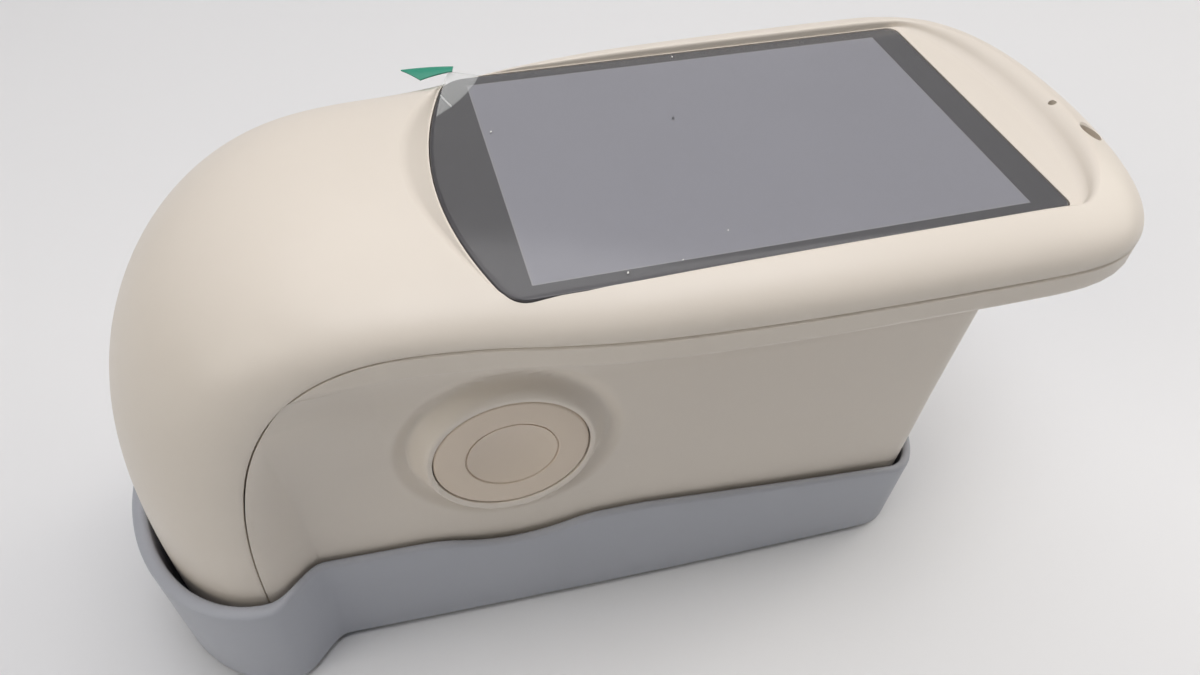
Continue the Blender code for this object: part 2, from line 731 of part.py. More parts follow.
def make_grip_housing(shell):
    """The lower shell: grip, lip and key swell, parted from the hood along one curved line."""
    housing = adopt("grip_housing", lofted("grip_housing", grip_rings()), shell)
    wide = 2 * HEAD_HALF_WIDTH
    parting = adopt("parting", prism("parting", parting_outline(), -wide, wide, axis="Y"))
    combine(housing, parting)
    combine(housing, adopt("grip_hollow", lofted("grip_hollow", grip_hollow_rings())))
    post_z = FOOT_Z + BASE_THICKNESS + BASE_SEAT + GAP
    for number, (x, y) in enumerate(post_places(), 1):
        at = (x, y, post_z + POST_HEIGHT / 2)
        combine(housing, rod(f"post_{number}", POST_RADIUS, POST_HEIGHT, at=at, sides=20), "UNION")
    for number, (x, y) in enumerate(post_places(), 1):
        at = (x, y, post_z)
        combine(housing, rod(f"post_bore_{number}", SCREW_RADIUS + GAP, 2 * SCREW_LENGTH, at=at, sides=12))
    key_at = (KEY_X, -GRIP_HALF_WIDTH, KEY_Z)
    key_hole = rod("key_hole", KEY_RADIUS + GAP, GRIP_HALF_WIDTH, at=key_at, turn=(math.pi / 2, 0, 0), sides=48)
    combine(housing, key_hole)
    post_top = ROOF_Z - GAP
    post_low = LIP_FOOT_Z + COVER_WALL / 2
    at = (LANYARD_X, LANYARD_Y, (post_top + post_low) / 2)
    post = rod("lanyard_post", LANYARD_RADIUS + LANYARD_POST_WALL, post_top - post_low, at=at, sides=20)
    combine(housing, post, "UNION")
    combine(housing, rod("lanyard_bore", LANYARD_RADIUS, 4 * COVE_HEIGHT, at=at, sides=16))
    socket = rectangle(SOCKET_WIDTH + 2 * GAP, SOCKET_HEIGHT + 2 * GAP, SOCKET_HEIGHT / 2)
    opening = adopt("socket_opening", prism("socket_opening", socket, -SOCKET_DEPTH, SOCKET_DEPTH))
    opening.location = (GRIP_REAR_X, 0.0, SOCKET_Z)
    opening.rotation_euler = (math.pi / 2, 0.0, math.pi / 2)
    combine(housing, opening)
    return housing


DOCK_NOSE_ANGLES = (0, 11, 22, 34, 47, 60, 74)
DOCK_STATIONS = [
    *spread(PARTING_FOOT_X, PARTING_FOOT_X + NOSE_RUN, 5),
    *spread(KEY_X - DOCK_KEY_RING, KEY_X + DOCK_KEY_RING, 14),
]
DOCK_STATIONS += spread(KEY_X + DOCK_KEY_RING, GRIP_REAR_X - 1.5 * GRIP_CORNER, 3)[1:]


def dock_half_width(x):
    """Half the width of the dock's outer face at its rim, a clearance and a wall outside the instrument."""
    forward = 1 - eased((x - PARTING_FOOT_X) / NOSE_RUN)
    grip = grip_half_width(x, DOCK_RIM_Z)
    return grip + DOCK_CLEARANCE + DOCK_WALL + DOCK_NOSE_EXTRA * forward


def dock_rim(x, near):
    """Height of the dock's rim at x: it falls to the rear, and on the near side dips round the key."""
    rim = DOCK_RIM_Z - DOCK_RIM_SLOPE * max(x - DOCK_RIM_FALL_X, 0.0)
    across = abs(x - KEY_X)
    if near and across < DOCK_KEY_RING:
        rim = min(rim, KEY_Z - math.sqrt(DOCK_KEY_RING**2 - across**2))
    return rim


def dock_ring(depth, narrowing, height, shrink=0.0):
    """One ring round the dock, between its outer face at depth 0 and its inner face at depth 1."""
    middle = DOCK_STATIONS[0]
    nose_wall = (DOCK_WALL + DOCK_NOSE_WALL) * depth
    long_axis = middle - CREST_FOOT_X + DOCK_TIP_REACH - nose_wall - shrink
    wide_axis = dock_half_width(middle) - nose_wall - narrowing
    end = GRIP_REAR_X + DOCK_CLEARANCE + DOCK_WALL * (1 - depth) - shrink
    corner = GRIP_CORNER + DOCK_WALL * (1 - depth)
    side = []
    for degrees in DOCK_NOSE_ANGLES:
        angle = math.radians(degrees)
        side.append((middle - long_axis * math.cos(angle), wide_axis * math.sin(angle)))
    last = DOCK_STATIONS[-1]
    for x in [*DOCK_STATIONS, *[last + (end - last) * share for share in END_SHARES]]:
        forward = 1 - eased((x - PARTING_FOOT_X) / NOSE_RUN)
        wall = (DOCK_WALL + DOCK_NOSE_WALL * forward) * depth
        side.append((x, closed_end(x, dock_half_width(x) - wall - narrowing, end, corner)))
    ring = [Vector((x, -y, height(x, True))) for x, y in side]
    return ring + [Vector((x, y, height(x, False))) for x, y in reversed(side[1:-1])]


def make_dock_shell(grey):
    """The tub that the instrument stands in, with a round rim of changing height."""
    rings = []
    for degrees in (0, 45, 90):
        angle = math.radians(degrees)
        inset = DOCK_EDGE * (1 - math.sin(angle))
        level = DOCK_UNDERSIDE_Z + DOCK_EDGE * (1 - math.cos(angle))
        rings.append(dock_ring(0.0, DOCK_TAPER + inset, lambda x, near, z=level: z, inset))
    top = DOCK_WALL / 2
    for share in (0.45, 1.0):

        def height(x, near, share=share):
            low = DOCK_UNDERSIDE_Z + DOCK_EDGE
            return low + (dock_rim(x, near) - top - low) * share

        rings.append(dock_ring(0.0, DOCK_TAPER * (1 - share), height))
    for degrees in (45, 90, 135, 180):
        angle = math.radians(degrees)
        rise = top * (math.sin(angle) - 1)
        rings.append(dock_ring((1 - math.cos(angle)) / 2, 0.0, lambda x, near, r=rise: dock_rim(x, near) + r))
    for share in (0.5, 1.0):

        def inner(x, near, share=share):
            return dock_rim(x, near) - top + (DOCK_FLOOR_Z - dock_rim(x, near) + top) * share

        level = DOCK_RIM_Z + (DOCK_FLOOR_Z - DOCK_RIM_Z) * share
        rings.append(dock_ring(1.0, -grip_lean(level) * share, inner))
    return adopt("dock_shell", lofted("dock_shell", rings), grey)


def make_dock_trim(rubber, metal, black):
    """Feet under the dock, and the calibration tile in its floor."""
    height = DOCK_FOOT_HEIGHT - GAP
    places = corners(DOCK_FOOT_FRONT_X, DOCK_FOOT_REAR_X, DOCK_FOOT_Y)
    for number, (x, y) in enumerate(places, 1):
        at = (x, y, -DISPLAY_HEIGHT + height / 2)
        rod(f"dock_foot_{number}", DOCK_FOOT_RADIUS, height, rubber, at, sides=24)
    low = DOCK_FLOOR_Z + GAP
    high = FOOT_Z - GAP
    outside = rectangle(
        TILE_LENGTH + 2 * TILE_BORDER, TILE_WIDTH + 2 * TILE_BORDER, TILE_BORDER, x=APERTURE_X,
    )
    inside = rectangle(TILE_LENGTH + 2 * GAP, TILE_WIDTH + 2 * GAP, GAP, x=APERTURE_X)
    frame = adopt("tile_frame", prism("tile_frame", outside, low, high), metal)
    combine(frame, adopt("tile_recess", prism("tile_recess", inside, low - GAP, high + GAP)))
    thickness = high - low - TILE_SINK
    at = (APERTURE_X, 0.0, low + thickness / 2)
    box("calibration_tile", (TILE_LENGTH, TILE_WIDTH, thickness), black, at, rounding=TILE_SINK / 2)


def bracket_posts():
    """Where the bracket's posts stand and the main board's screws go in."""
    return corners(BRACKET_FRONT_X, BRACKET_REAR_X, BRACKET_POST_Y)


def make_display(glass, panel, metal, clear, green):
    """Cover glass, panel behind it, the bracket that holds the panel, and the film with its tab."""
    adopt("display_glass", prism("display_glass", glass_outline(), -GLASS_THICKNESS, 0.0), glass)
    panel_top = -(GLASS_THICKNESS + GAP)
    size = (2 * (WINDOW_HALF_LENGTH - PANEL_CLEARANCE), 2 * (WINDOW_HALF_WIDTH - PANEL_CLEARANCE))
    panel_size = rectangle(*size, GLASS_CORNER / 4)
    panel_low = panel_top - PANEL_THICKNESS
    adopt("display_panel", prism("display_panel", panel_size, panel_low, panel_top), panel)
    bracket_top = min(ROOF_Z, panel_low) - GAP
    bracket_low = bracket_top - BRACKET_THICKNESS
    plate = rectangle(2 * BRACKET_HALF_LENGTH, 2 * BRACKET_HALF_WIDTH, GLASS_CORNER)
    bracket = adopt("display_bracket", prism("display_bracket", plate, bracket_low, bracket_top), metal)
    opening = rectangle(ACTIVE_HALF_LENGTH, ACTIVE_HALF_WIDTH, GLASS_CORNER)
    combine(bracket, adopt("bracket_opening", prism("bracket_opening", opening, 2 * bracket_low, 0.0)))
    board_top = bracket_low - BOARD_DROP
    post_length = bracket_top - BRACKET_THICKNESS / 2 - board_top - GAP
    for number, (x, y) in enumerate(bracket_posts(), 1):
        at = (x, y, board_top + GAP + post_length / 2)
        post = rod(f"bracket_post_{number}", BRACKET_POST_RADIUS, post_length, at=at, sides=16)
        combine(bracket, post, "UNION")
    for number, (x, y) in enumerate(bracket_posts(), 1):
        at = (x, y, board_top)
        combine(bracket, rod(f"bracket_bore_{number}", SCREW_RADIUS + GAP, BOARD_DROP, at=at, sides=12))
    make_film(clear, green)
    return board_top


def film_height(x, y):
    """Height of the film's underside over the glass, lifting at the far front corner."""
    away = max((FILM_CURL_X - x) + (y - FILM_CURL_Y), 0.0)
    reach = FILM_CURL_X - GLASS_FRONT_X + GLASS_HALF_WIDTH - FILM_CURL_Y
    return GAP + FILM_CURL * (away / reach) ** 2


def make_film(clear, green, across=12, along=16):
    """The clear film over the glass, with its pull tab at the lifted corner."""
    work = bmesh.new()
    half = GLASS_HALF_WIDTH - FILM_INSET
    rows = []
    for i in range(across + 1):
        y = half * math.cos(math.pi * i / across)
        front = GLASS_FRONT_X + FILM_INSET + GLASS_FRONT_BOW * (y / half) ** 2
        rear = GLASS_REAR_X - FILM_INSET
        row = []
        for k in range(along + 1):
            x = front + (rear - front) * (1 - math.cos(math.pi * k / along / 2))
            row.append(work.verts.new((x, y, film_height(x, y))))
        rows.append(row)
    for upper, lower in zip(rows, rows[1:]):
        for k in range(along):
            work.faces.new((upper[k], lower[k], lower[k + 1], upper[k + 1]))
    film = adopt("screen_film", mesh_from("screen_film", work), clear)
    shell = film.modifiers.new("thickness", "SOLIDIFY")
    shell.thickness = FILM_THICKNESS
    shell.offset = 1.0
    corner = (GLASS_FRONT_X + GLASS_FRONT_BOW, half)
    top = film_height(*corner) + FILM_THICKNESS + GAP
    turn = (0.0, 0.0, math.radians(TAB_ANGLE))
    at = (corner[0] - 0.4 * TAB_LENGTH + TAB_OVERLAP / 2, corner[1] + TAB_WIDTH / 8, top + FILM_THICKNESS / 2)
    box("film_tab", (TAB_LENGTH, TAB_WIDTH, FILM_THICKNESS), green, at, turn)


def make_key(tan, black):
    """The measuring key, its plunger and its switch; gives back the face of the switch's board."""
    sunk = -KEY_DISC_SINK
    step = KEY_GROOVE / 4
    inner = KEY_RADIUS - KEY_WALL
    shoulder = -KEY_DEPTH + KEY_FLANGE
    flange = KEY_RADIUS + GAP + KEY_FLANGE
    profile = [
        (0.0, sunk - KEY_DISH), (KEY_DISC_RADIUS * 0.6, sunk - KEY_DISH * 0.65), (KEY_DISC_RADIUS, sunk),
        (KEY_DISC_RADIUS + step, -step), (KEY_DISC_RADIUS + KEY_GROOVE, 0.0), (KEY_RADIUS - KEY_EDGE, 0.0),
        (KEY_RADIUS - KEY_EDGE / 3, -KEY_EDGE / 4), (KEY_RADIUS, -KEY_EDGE * 0.85), (KEY_RADIUS, shoulder),
        (flange, shoulder), (flange, -KEY_DEPTH), (inner, -KEY_DEPTH), (inner, -KEY_WEB), (0.0, -KEY_WEB),
    ]
    facing = (math.pi / 2, 0.0, 0.0)
    turned("measure_button", profile, tan, at=(KEY_X, -KEY_FACE_Y, KEY_Z), turn=facing, sides=40)
    start = -KEY_FACE_Y + KEY_WEB + GAP
    tip = start + PLUNGER_LENGTH
    at = (KEY_X, (start + tip) / 2, KEY_Z)
    rod("measure_plunger", PLUNGER_RADIUS, PLUNGER_LENGTH, black, at=at, turn=facing, sides=24)
    switch_face = tip + KEY_TRAVEL + GAP
    at = (KEY_X, switch_face + SWITCH_DEPTH / 2, KEY_Z)
    box("measure_switch", (SWITCH_SIZE, SWITCH_DEPTH, SWITCH_SIZE), black, at, rounding=GAP)
    return switch_face + SWITCH_DEPTH + GAP


def make_boards(board, metal, board_top, side_face):
    """The main board on the bracket's posts with its screws, and the key's board standing under it."""
    low = board_top - BOARD_THICKNESS
    outline = rectangle(BOARD_LENGTH, BOARD_WIDTH, BOARD_THICKNESS, x=BOARD_X)
    main = adopt("main_board", prism("main_board", outline, low, board_top), board)
    for number, (x, y) in enumerate(bracket_posts(), 1):
        hole = rod(f"board_hole_{number}", SCREW_RADIUS + GAP, 4 * BOARD_THICKNESS, at=(x, y, low), sides=16)
        combine(main, hole)
        screw(f"board_screw_{number}", (x, y, low - GAP), metal)
    high = low - GAP
    bottom = KEY_Z - 1.8 * SWITCH_SIZE
    size = (3 * SWITCH_SIZE, SIDE_BOARD_THICKNESS, high - bottom)
    at = (KEY_X, side_face + SIDE_BOARD_THICKNESS / 2, (high + bottom) / 2)
    box("side_board", size, board, at)


def screw(name, at, metal):
    """A pan head screw seen from below: its head under the seat and its shank up through it."""
    radius = SCREW_HEAD_RADIUS
    tip = SCREW_LENGTH / 2
    profile = [
        (0.0, tip), (0.8 * SCREW_RADIUS, tip), (SCREW_RADIUS, tip - 0.3 * SCREW_RADIUS), (SCREW_RADIUS, 0.0),
        (radius, 0.0), (radius, -0.6 * SCREW_HEAD_HEIGHT), (0.7 * radius, -SCREW_HEAD_HEIGHT),
        (0.45 * radius, -SCREW_HEAD_HEIGHT), (0.4 * radius, -0.5 * SCREW_HEAD_HEIGHT),
        (0.0, -0.5 * SCREW_HEAD_HEIGHT),
    ]
    return turned(name, profile, metal, at=at, sides=12)


def base_outline():
    """The base plate in plan, a clearance inside the foot of both shells."""
    middle = PARTING_FOOT_X
    long_axis = middle - CREST_FOOT_X - COVER_WALL - GAP
    wide_axis = FOOT_HALF_WIDTH - COVER_WALL - 2 * GAP
    end = GRIP_REAR_X - GRIP_WALL - GAP
    side = []
    for degrees in (0, 10, 22, 36, 52, 70):
        angle = math.radians(degrees)
        side.append((middle - long_axis * math.cos(angle), wide_axis * math.sin(angle)))
    last = INNER_STATIONS[-1]
    stations = [x for x in INNER_STATIONS if x > middle]
    for x in [*stations, *[last + (end - last) * share for share in END_SHARES]]:
        width = grip_half_width(x, FOOT_Z - BASE_THICKNESS) - GRIP_WALL - 2 * GAP
        side.append((x, closed_end(x, width, end, GRIP_CORNER - GRIP_WALL)))
    return [(x, -y) for x, y in side] + [(x, y) for x, y in reversed(side[1:-1])]


def make_base(metal, glass):
    """The base plate with its measuring aperture, the pane over it and the four screws."""
    low = FOOT_Z + BASE_SEAT
    high = low + BASE_THICKNESS
    plate = adopt("base_plate", prism("base_plate", base_outline(), low, high), metal)
    rim = APERTURE_RIM
    aperture = rectangle(APERTURE_LENGTH, APERTURE_WIDTH, rim, x=APERTURE_X)
    combine(plate, adopt("aperture", prism("aperture", aperture, low - GAP, high + GAP)))
    recess = rectangle(APERTURE_LENGTH + 2 * rim, APERTURE_WIDTH + 2 * rim, rim, x=APERTURE_X)
    floor = high - PANE_THICKNESS - GAP
    combine(plate, adopt("pane_recess", prism("pane_recess", recess, floor, high + 2 * GAP)))
    edge = 2 * (rim - GAP)
    outline = rectangle(APERTURE_LENGTH + edge, APERTURE_WIDTH + edge, rim - GAP, x=APERTURE_X)
    adopt("aperture_window", prism("aperture_window", outline, floor + GAP, high), glass)
    sink = SCREW_HEAD_HEIGHT + GAP
    for number, (x, y) in enumerate(post_places(), 1):
        hole = rod(f"plate_hole_{number}", SCREW_RADIUS + GAP, 4 * BASE_THICKNESS, at=(x, y, low), sides=16)
        combine(plate, hole)
        recess = rod(f"plate_sink_{number}", SCREW_HEAD_RADIUS + GAP, 2 * sink, at=(x, y, low), sides=24)
        combine(plate, recess)
        screw(f"base_screw_{number}", (x, y, low + sink - GAP), metal)
    return high


def make_optics(black, metal, floor):
    """The optics block: two beams, each with a source and a receiver barrel in an angled bore."""
    low = floor + GAP
    at = (APERTURE_X, 0.0, low + OPTICS_HEIGHT / 2)
    size = (2 * OPTICS_HALF_LENGTH, 2 * OPTICS_HALF_WIDTH, OPTICS_HEIGHT)
    block = box("optics_block", size, black, at, rounding=OPTICS_EDGE)
    for degrees, lane in zip(BEAM_ANGLES, (-BEAM_LANE, BEAM_LANE)):
        angle = math.radians(degrees)
        to_side = OPTICS_HALF_LENGTH / math.sin(angle)
        to_top = (low + OPTICS_HEIGHT - FOOT_Z) / math.cos(angle)
        middle = min(to_side, to_top) - 0.7 * BARREL_LENGTH
        for side, role in ((-1, "light_source"), (1, "receiver")):
            lean = side * angle
            bore = rod(
                f"{role}_bore_{degrees}", BORE_RADIUS, 4 * OPTICS_HALF_LENGTH, turn=(0.0, lean, 0.0), sides=24,
            )
            way = Vector((math.sin(lean), 0.0, math.cos(lean)))
            foot = Vector((APERTURE_X, lane, FOOT_Z))
            bore.location = foot + way * 2 * OPTICS_HALF_LENGTH
            combine(block, bore)
            radius = BORE_RADIUS - GAP
            half = BARREL_LENGTH / 2
            rim = half - BARREL_STEP
            profile = [
                (0.0, half), (0.5 * radius, half), (0.5 * radius, rim), (radius, rim), (radius, -rim),
                (0.8 * radius, -rim), (0.5 * radius, -rim - 0.6 * BARREL_STEP), (0.0, -half),
            ]
            turned(
                f"{role}_{degrees}", profile, metal, at=foot + way * middle, turn=(0.0, lean, 0.0), sides=20,
            )
    return low + OPTICS_HEIGHT


def make_battery(black, metal, floor):
    """The battery cell lying in its tray on the optics block."""
    bore = BATTERY_RADIUS + TRAY_CLEARANCE
    low = floor + GAP
    axis = low + TRAY_WALL + bore
    height = TRAY_WALL + 1.1 * bore
    length = BATTERY_LENGTH + 2 * (TRAY_CLEARANCE + TRAY_WALL)
    at = (BATTERY_X, 0.0, low + height / 2)
    tray = box("battery_tray", (length, 2 * (bore + TRAY_WALL), height), black, at)
    lying = (0.0, math.pi / 2, 0.0)
    inside = BATTERY_LENGTH + 2 * TRAY_CLEARANCE
    combine(tray, rod("tray_bore", bore, inside, at=(BATTERY_X, 0.0, axis), turn=lying, sides=32))
    combine(tray, box("tray_mouth", (inside, 2 * bore, bore), at=(BATTERY_X, 0.0, axis + bore / 2)))
    half = BATTERY_LENGTH / 2
    radius = BATTERY_RADIUS
    cap = half - CELL_CAP
    soft = 0.6 * CELL_CAP
    profile = [
        (0.0, half), (0.3 * radius, half), (0.3 * radius, cap), (radius - soft, cap), (radius, cap - soft),
        (radius, -half + soft), (radius - soft, -half), (0.0, -half),
    ]
    turned("battery", profile, metal, at=(BATTERY_X, 0.0, axis), turn=lying, sides=32)


def make_socket(metal, board):
    """The charging socket in the rear wall under the overhang, on its small board."""
    outline = rectangle(SOCKET_WIDTH, SOCKET_HEIGHT, SOCKET_HEIGHT / 2 - GAP / 4)
    wall = SOCKET_WALL
    mouth = rectangle(SOCKET_WIDTH - 2 * wall, SOCKET_HEIGHT - 2 * wall, SOCKET_HEIGHT / 2 - wall - GAP / 4)
    half = SOCKET_DEPTH / 2
    face = GRIP_REAR_X - 2 * GAP
    at = (face - half, 0.0, SOCKET_Z)
    turn = (math.pi / 2, 0.0, math.pi / 2)
    socket = adopt("usb_socket", prism("usb_socket", outline, -half, half), metal, at, turn)
    cutter = adopt("socket_mouth", prism("socket_mouth", mouth, wall - half, half + wall), None, at, turn)
    combine(socket, cutter)
    tongue = rectangle(SOCKET_WIDTH - 6 * wall, 2 * wall, wall / 2)
    blade = adopt("socket_tongue", prism("socket_tongue", tongue, -half, half - wall), None, at, turn)
    combine(socket, blade, "UNION")
    top = SOCKET_Z - SOCKET_HEIGHT / 2 - GAP
    rear = GRIP_REAR_X - GRIP_WALL - 2 * GAP
    length = 1.6 * SOCKET_DEPTH
    size = (length, 1.5 * SOCKET_WIDTH, SIDE_BOARD_THICKNESS)
    box("port_board", size, board, (rear - length / 2, 0.0, top - SIDE_BOARD_THICKNESS / 2))


def make_gloss_meter():
    """Every piece of the instrument and its dock."""
    shell = finish("cream_shell", SHELL, 0.42)
    tan = finish("tan_key", TAN, 0.45)
    grey = finish("grey_dock", GREY, 0.5)
    black = finish("black_plastic", BLACK, 0.4)
    rubber = finish("rubber", BLACK, 0.8)
    metal = finish("bare_metal", METAL, 0.35, 1.0)
    board = finish("circuit_board", BOARD_GREEN, 0.5)
    glass = finish("grey_glass", GLASS_GREY, 0.1)
    panel = finish("display_panel", PANEL_GREY, 0.3)
    clear = finish("clear_film", FILM_WHITE, 0.1, alpha=0.15)
    green = finish("green_tab", TAB_GREEN, 0.4)
    make_top_cover(shell)
    make_grip_housing(shell)
    board_top = make_display(glass, panel, metal, clear, green)
    side_face = make_key(tan, black)
    make_boards(board, metal, board_top, side_face)
    block_floor = make_base(metal, glass)
    tray_floor = make_optics(black, metal, block_floor)
    make_battery(black, metal, tray_floor)
    make_socket(metal, board)
    make_dock_shell(grey)
    make_dock_trim(rubber, metal, black)


make_gloss_meter()
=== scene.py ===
"""The looks of a hand-held gloss meter standing in its dock: moulded shells, glass, film, key and finishes.

Lengths are in metres. Forms are drawn from the middle of the display glass and moved to their place by DATUM.
"""

import json
import logging
import math
from collections.abc import Callable, Iterable, Iterator, Sequence
from dataclasses import dataclass
from enum import Enum

import bmesh
import bpy
from mathutils import Matrix, Vector


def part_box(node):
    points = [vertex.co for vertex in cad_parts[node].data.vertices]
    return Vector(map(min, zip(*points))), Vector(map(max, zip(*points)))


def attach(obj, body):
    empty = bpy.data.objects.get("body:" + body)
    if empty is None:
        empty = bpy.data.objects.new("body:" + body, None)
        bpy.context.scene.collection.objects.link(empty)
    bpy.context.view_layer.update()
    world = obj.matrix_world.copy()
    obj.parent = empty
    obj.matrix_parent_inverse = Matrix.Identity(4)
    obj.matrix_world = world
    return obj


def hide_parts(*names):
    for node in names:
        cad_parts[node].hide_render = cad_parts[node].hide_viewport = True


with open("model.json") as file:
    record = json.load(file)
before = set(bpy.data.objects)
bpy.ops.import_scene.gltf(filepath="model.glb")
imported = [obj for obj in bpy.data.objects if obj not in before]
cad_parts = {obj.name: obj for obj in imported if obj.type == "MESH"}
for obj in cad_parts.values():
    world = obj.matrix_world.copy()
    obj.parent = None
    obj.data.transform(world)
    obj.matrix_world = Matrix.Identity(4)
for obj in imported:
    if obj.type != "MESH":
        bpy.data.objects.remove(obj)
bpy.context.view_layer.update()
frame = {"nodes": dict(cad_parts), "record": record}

GLASS_REAR_X = 0.0427
DATUM = Vector((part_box("display_glass")[1][0] - GLASS_REAR_X, 0.0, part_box("display_glass")[1][2]))
GAP = 0.0003
SHARP_ANGLE = math.radians(32)
QUARTER_TURN = 90.0
NOSE_TURN = 89.0
END_TURN = 87.5

log = logging.getLogger("gloss_meter")

Ring = list[Vector]
Outline = list[tuple[float, float]]
Colour = tuple[float, float, float]
Stations = tuple[tuple[float, float], ...]
Socket = bpy.types.NodeSocket


class Body(Enum):
    """The bodies of the record that pieces ride on."""

    CASE = "case"
    KEY = "key"


class Slot(Enum):
    """The material slots of the record."""

    SHELL = "cream_shell"
    KEY = "tan_key"
    DOCK = "grey_dock"
    BLACK = "black_plastic"
    RUBBER = "rubber"
    METAL = "metal"
    STEEL = "steel"
    BOARD = "circuit_board"
    GLASS = "grey_glass"
    DISPLAY = "display"
    FILM = "clear_film"
    TAB = "green_tab"


def clamped(value: float, high: float = 1.0) -> float:
    """The value kept between 0 and a high end."""
    return min(max(value, 0.0), high)


def eased(share: float) -> float:
    """A smooth step from 0 to 1."""
    share = clamped(share)
    return share * share * (3 - 2 * share)


def spread(low: float, high: float, count: int) -> list[float]:
    """count + 1 values from low to high at even steps."""
    return [low + (high - low) * i / count for i in range(count + 1)]


def angles(last: float, count: int) -> list[float]:
    """count + 1 angles in radians, from 0 to a last one given in degrees."""
    return [math.radians(degrees) for degrees in spread(0, last, count)]


def through(stations: Stations, x: float) -> float:
    """Read a smooth curve through stations.

    Args:
        stations: (x, value) pairs in rising order of x.
        x: Where to read the curve.

    Returns:
        The value at x, held constant past both ends.
    """
    if x <= stations[0][0]:
        return stations[0][1]
    if x >= stations[-1][0]:
        return stations[-1][1]
    i = max(k for k, station in enumerate(stations) if station[0] <= x)

    def slope(k: int) -> float:
        """The curve's slope at a station."""
        first, last = max(k - 1, 0), min(k + 1, len(stations) - 1)
        return (stations[last][1] - stations[first][1]) / (stations[last][0] - stations[first][0])

    (x0, y0), (x1, y1) = stations[i], stations[i + 1]
    span = x1 - x0
    t = (x - x0) / span
    curve = (2 * t**3 - 3 * t**2 + 1) * y0 + (t**3 - 2 * t**2 + t) * span * slope(i)
    return curve + (3 * t**2 - 2 * t**3) * y1 + (t**3 - t**2) * span * slope(i + 1)


def closed_end(x: float, width: float, end: float, corner: float, power: float = 2.3) -> float:
    """Width drawn in to nothing over a corner's length before the end."""
    share = clamped((x - end + corner) / corner)
    return width * (1 - share**power) ** (1 / power)


def superellipse(foot: Vector, rise: Vector, half: float, power: float, turns: Iterable[float]) -> Ring:
    """Points of a superellipse that stands on a foot point.

    Args:
        foot: Middle of its base.
        rise: From there to its top.
        half: Half the width of its base.
        power: Its exponent.
        turns: Angles from +Y over the top to -Y.

    Returns:
        A point for each angle.
    """
    ring = []
    for turn in turns:
        across = math.copysign(abs(math.cos(turn)) ** (2 / power), math.cos(turn))
        ring.append(foot + rise * math.sin(turn) ** (2 / power) + Vector((0.0, half * across, 0.0)))
    return ring


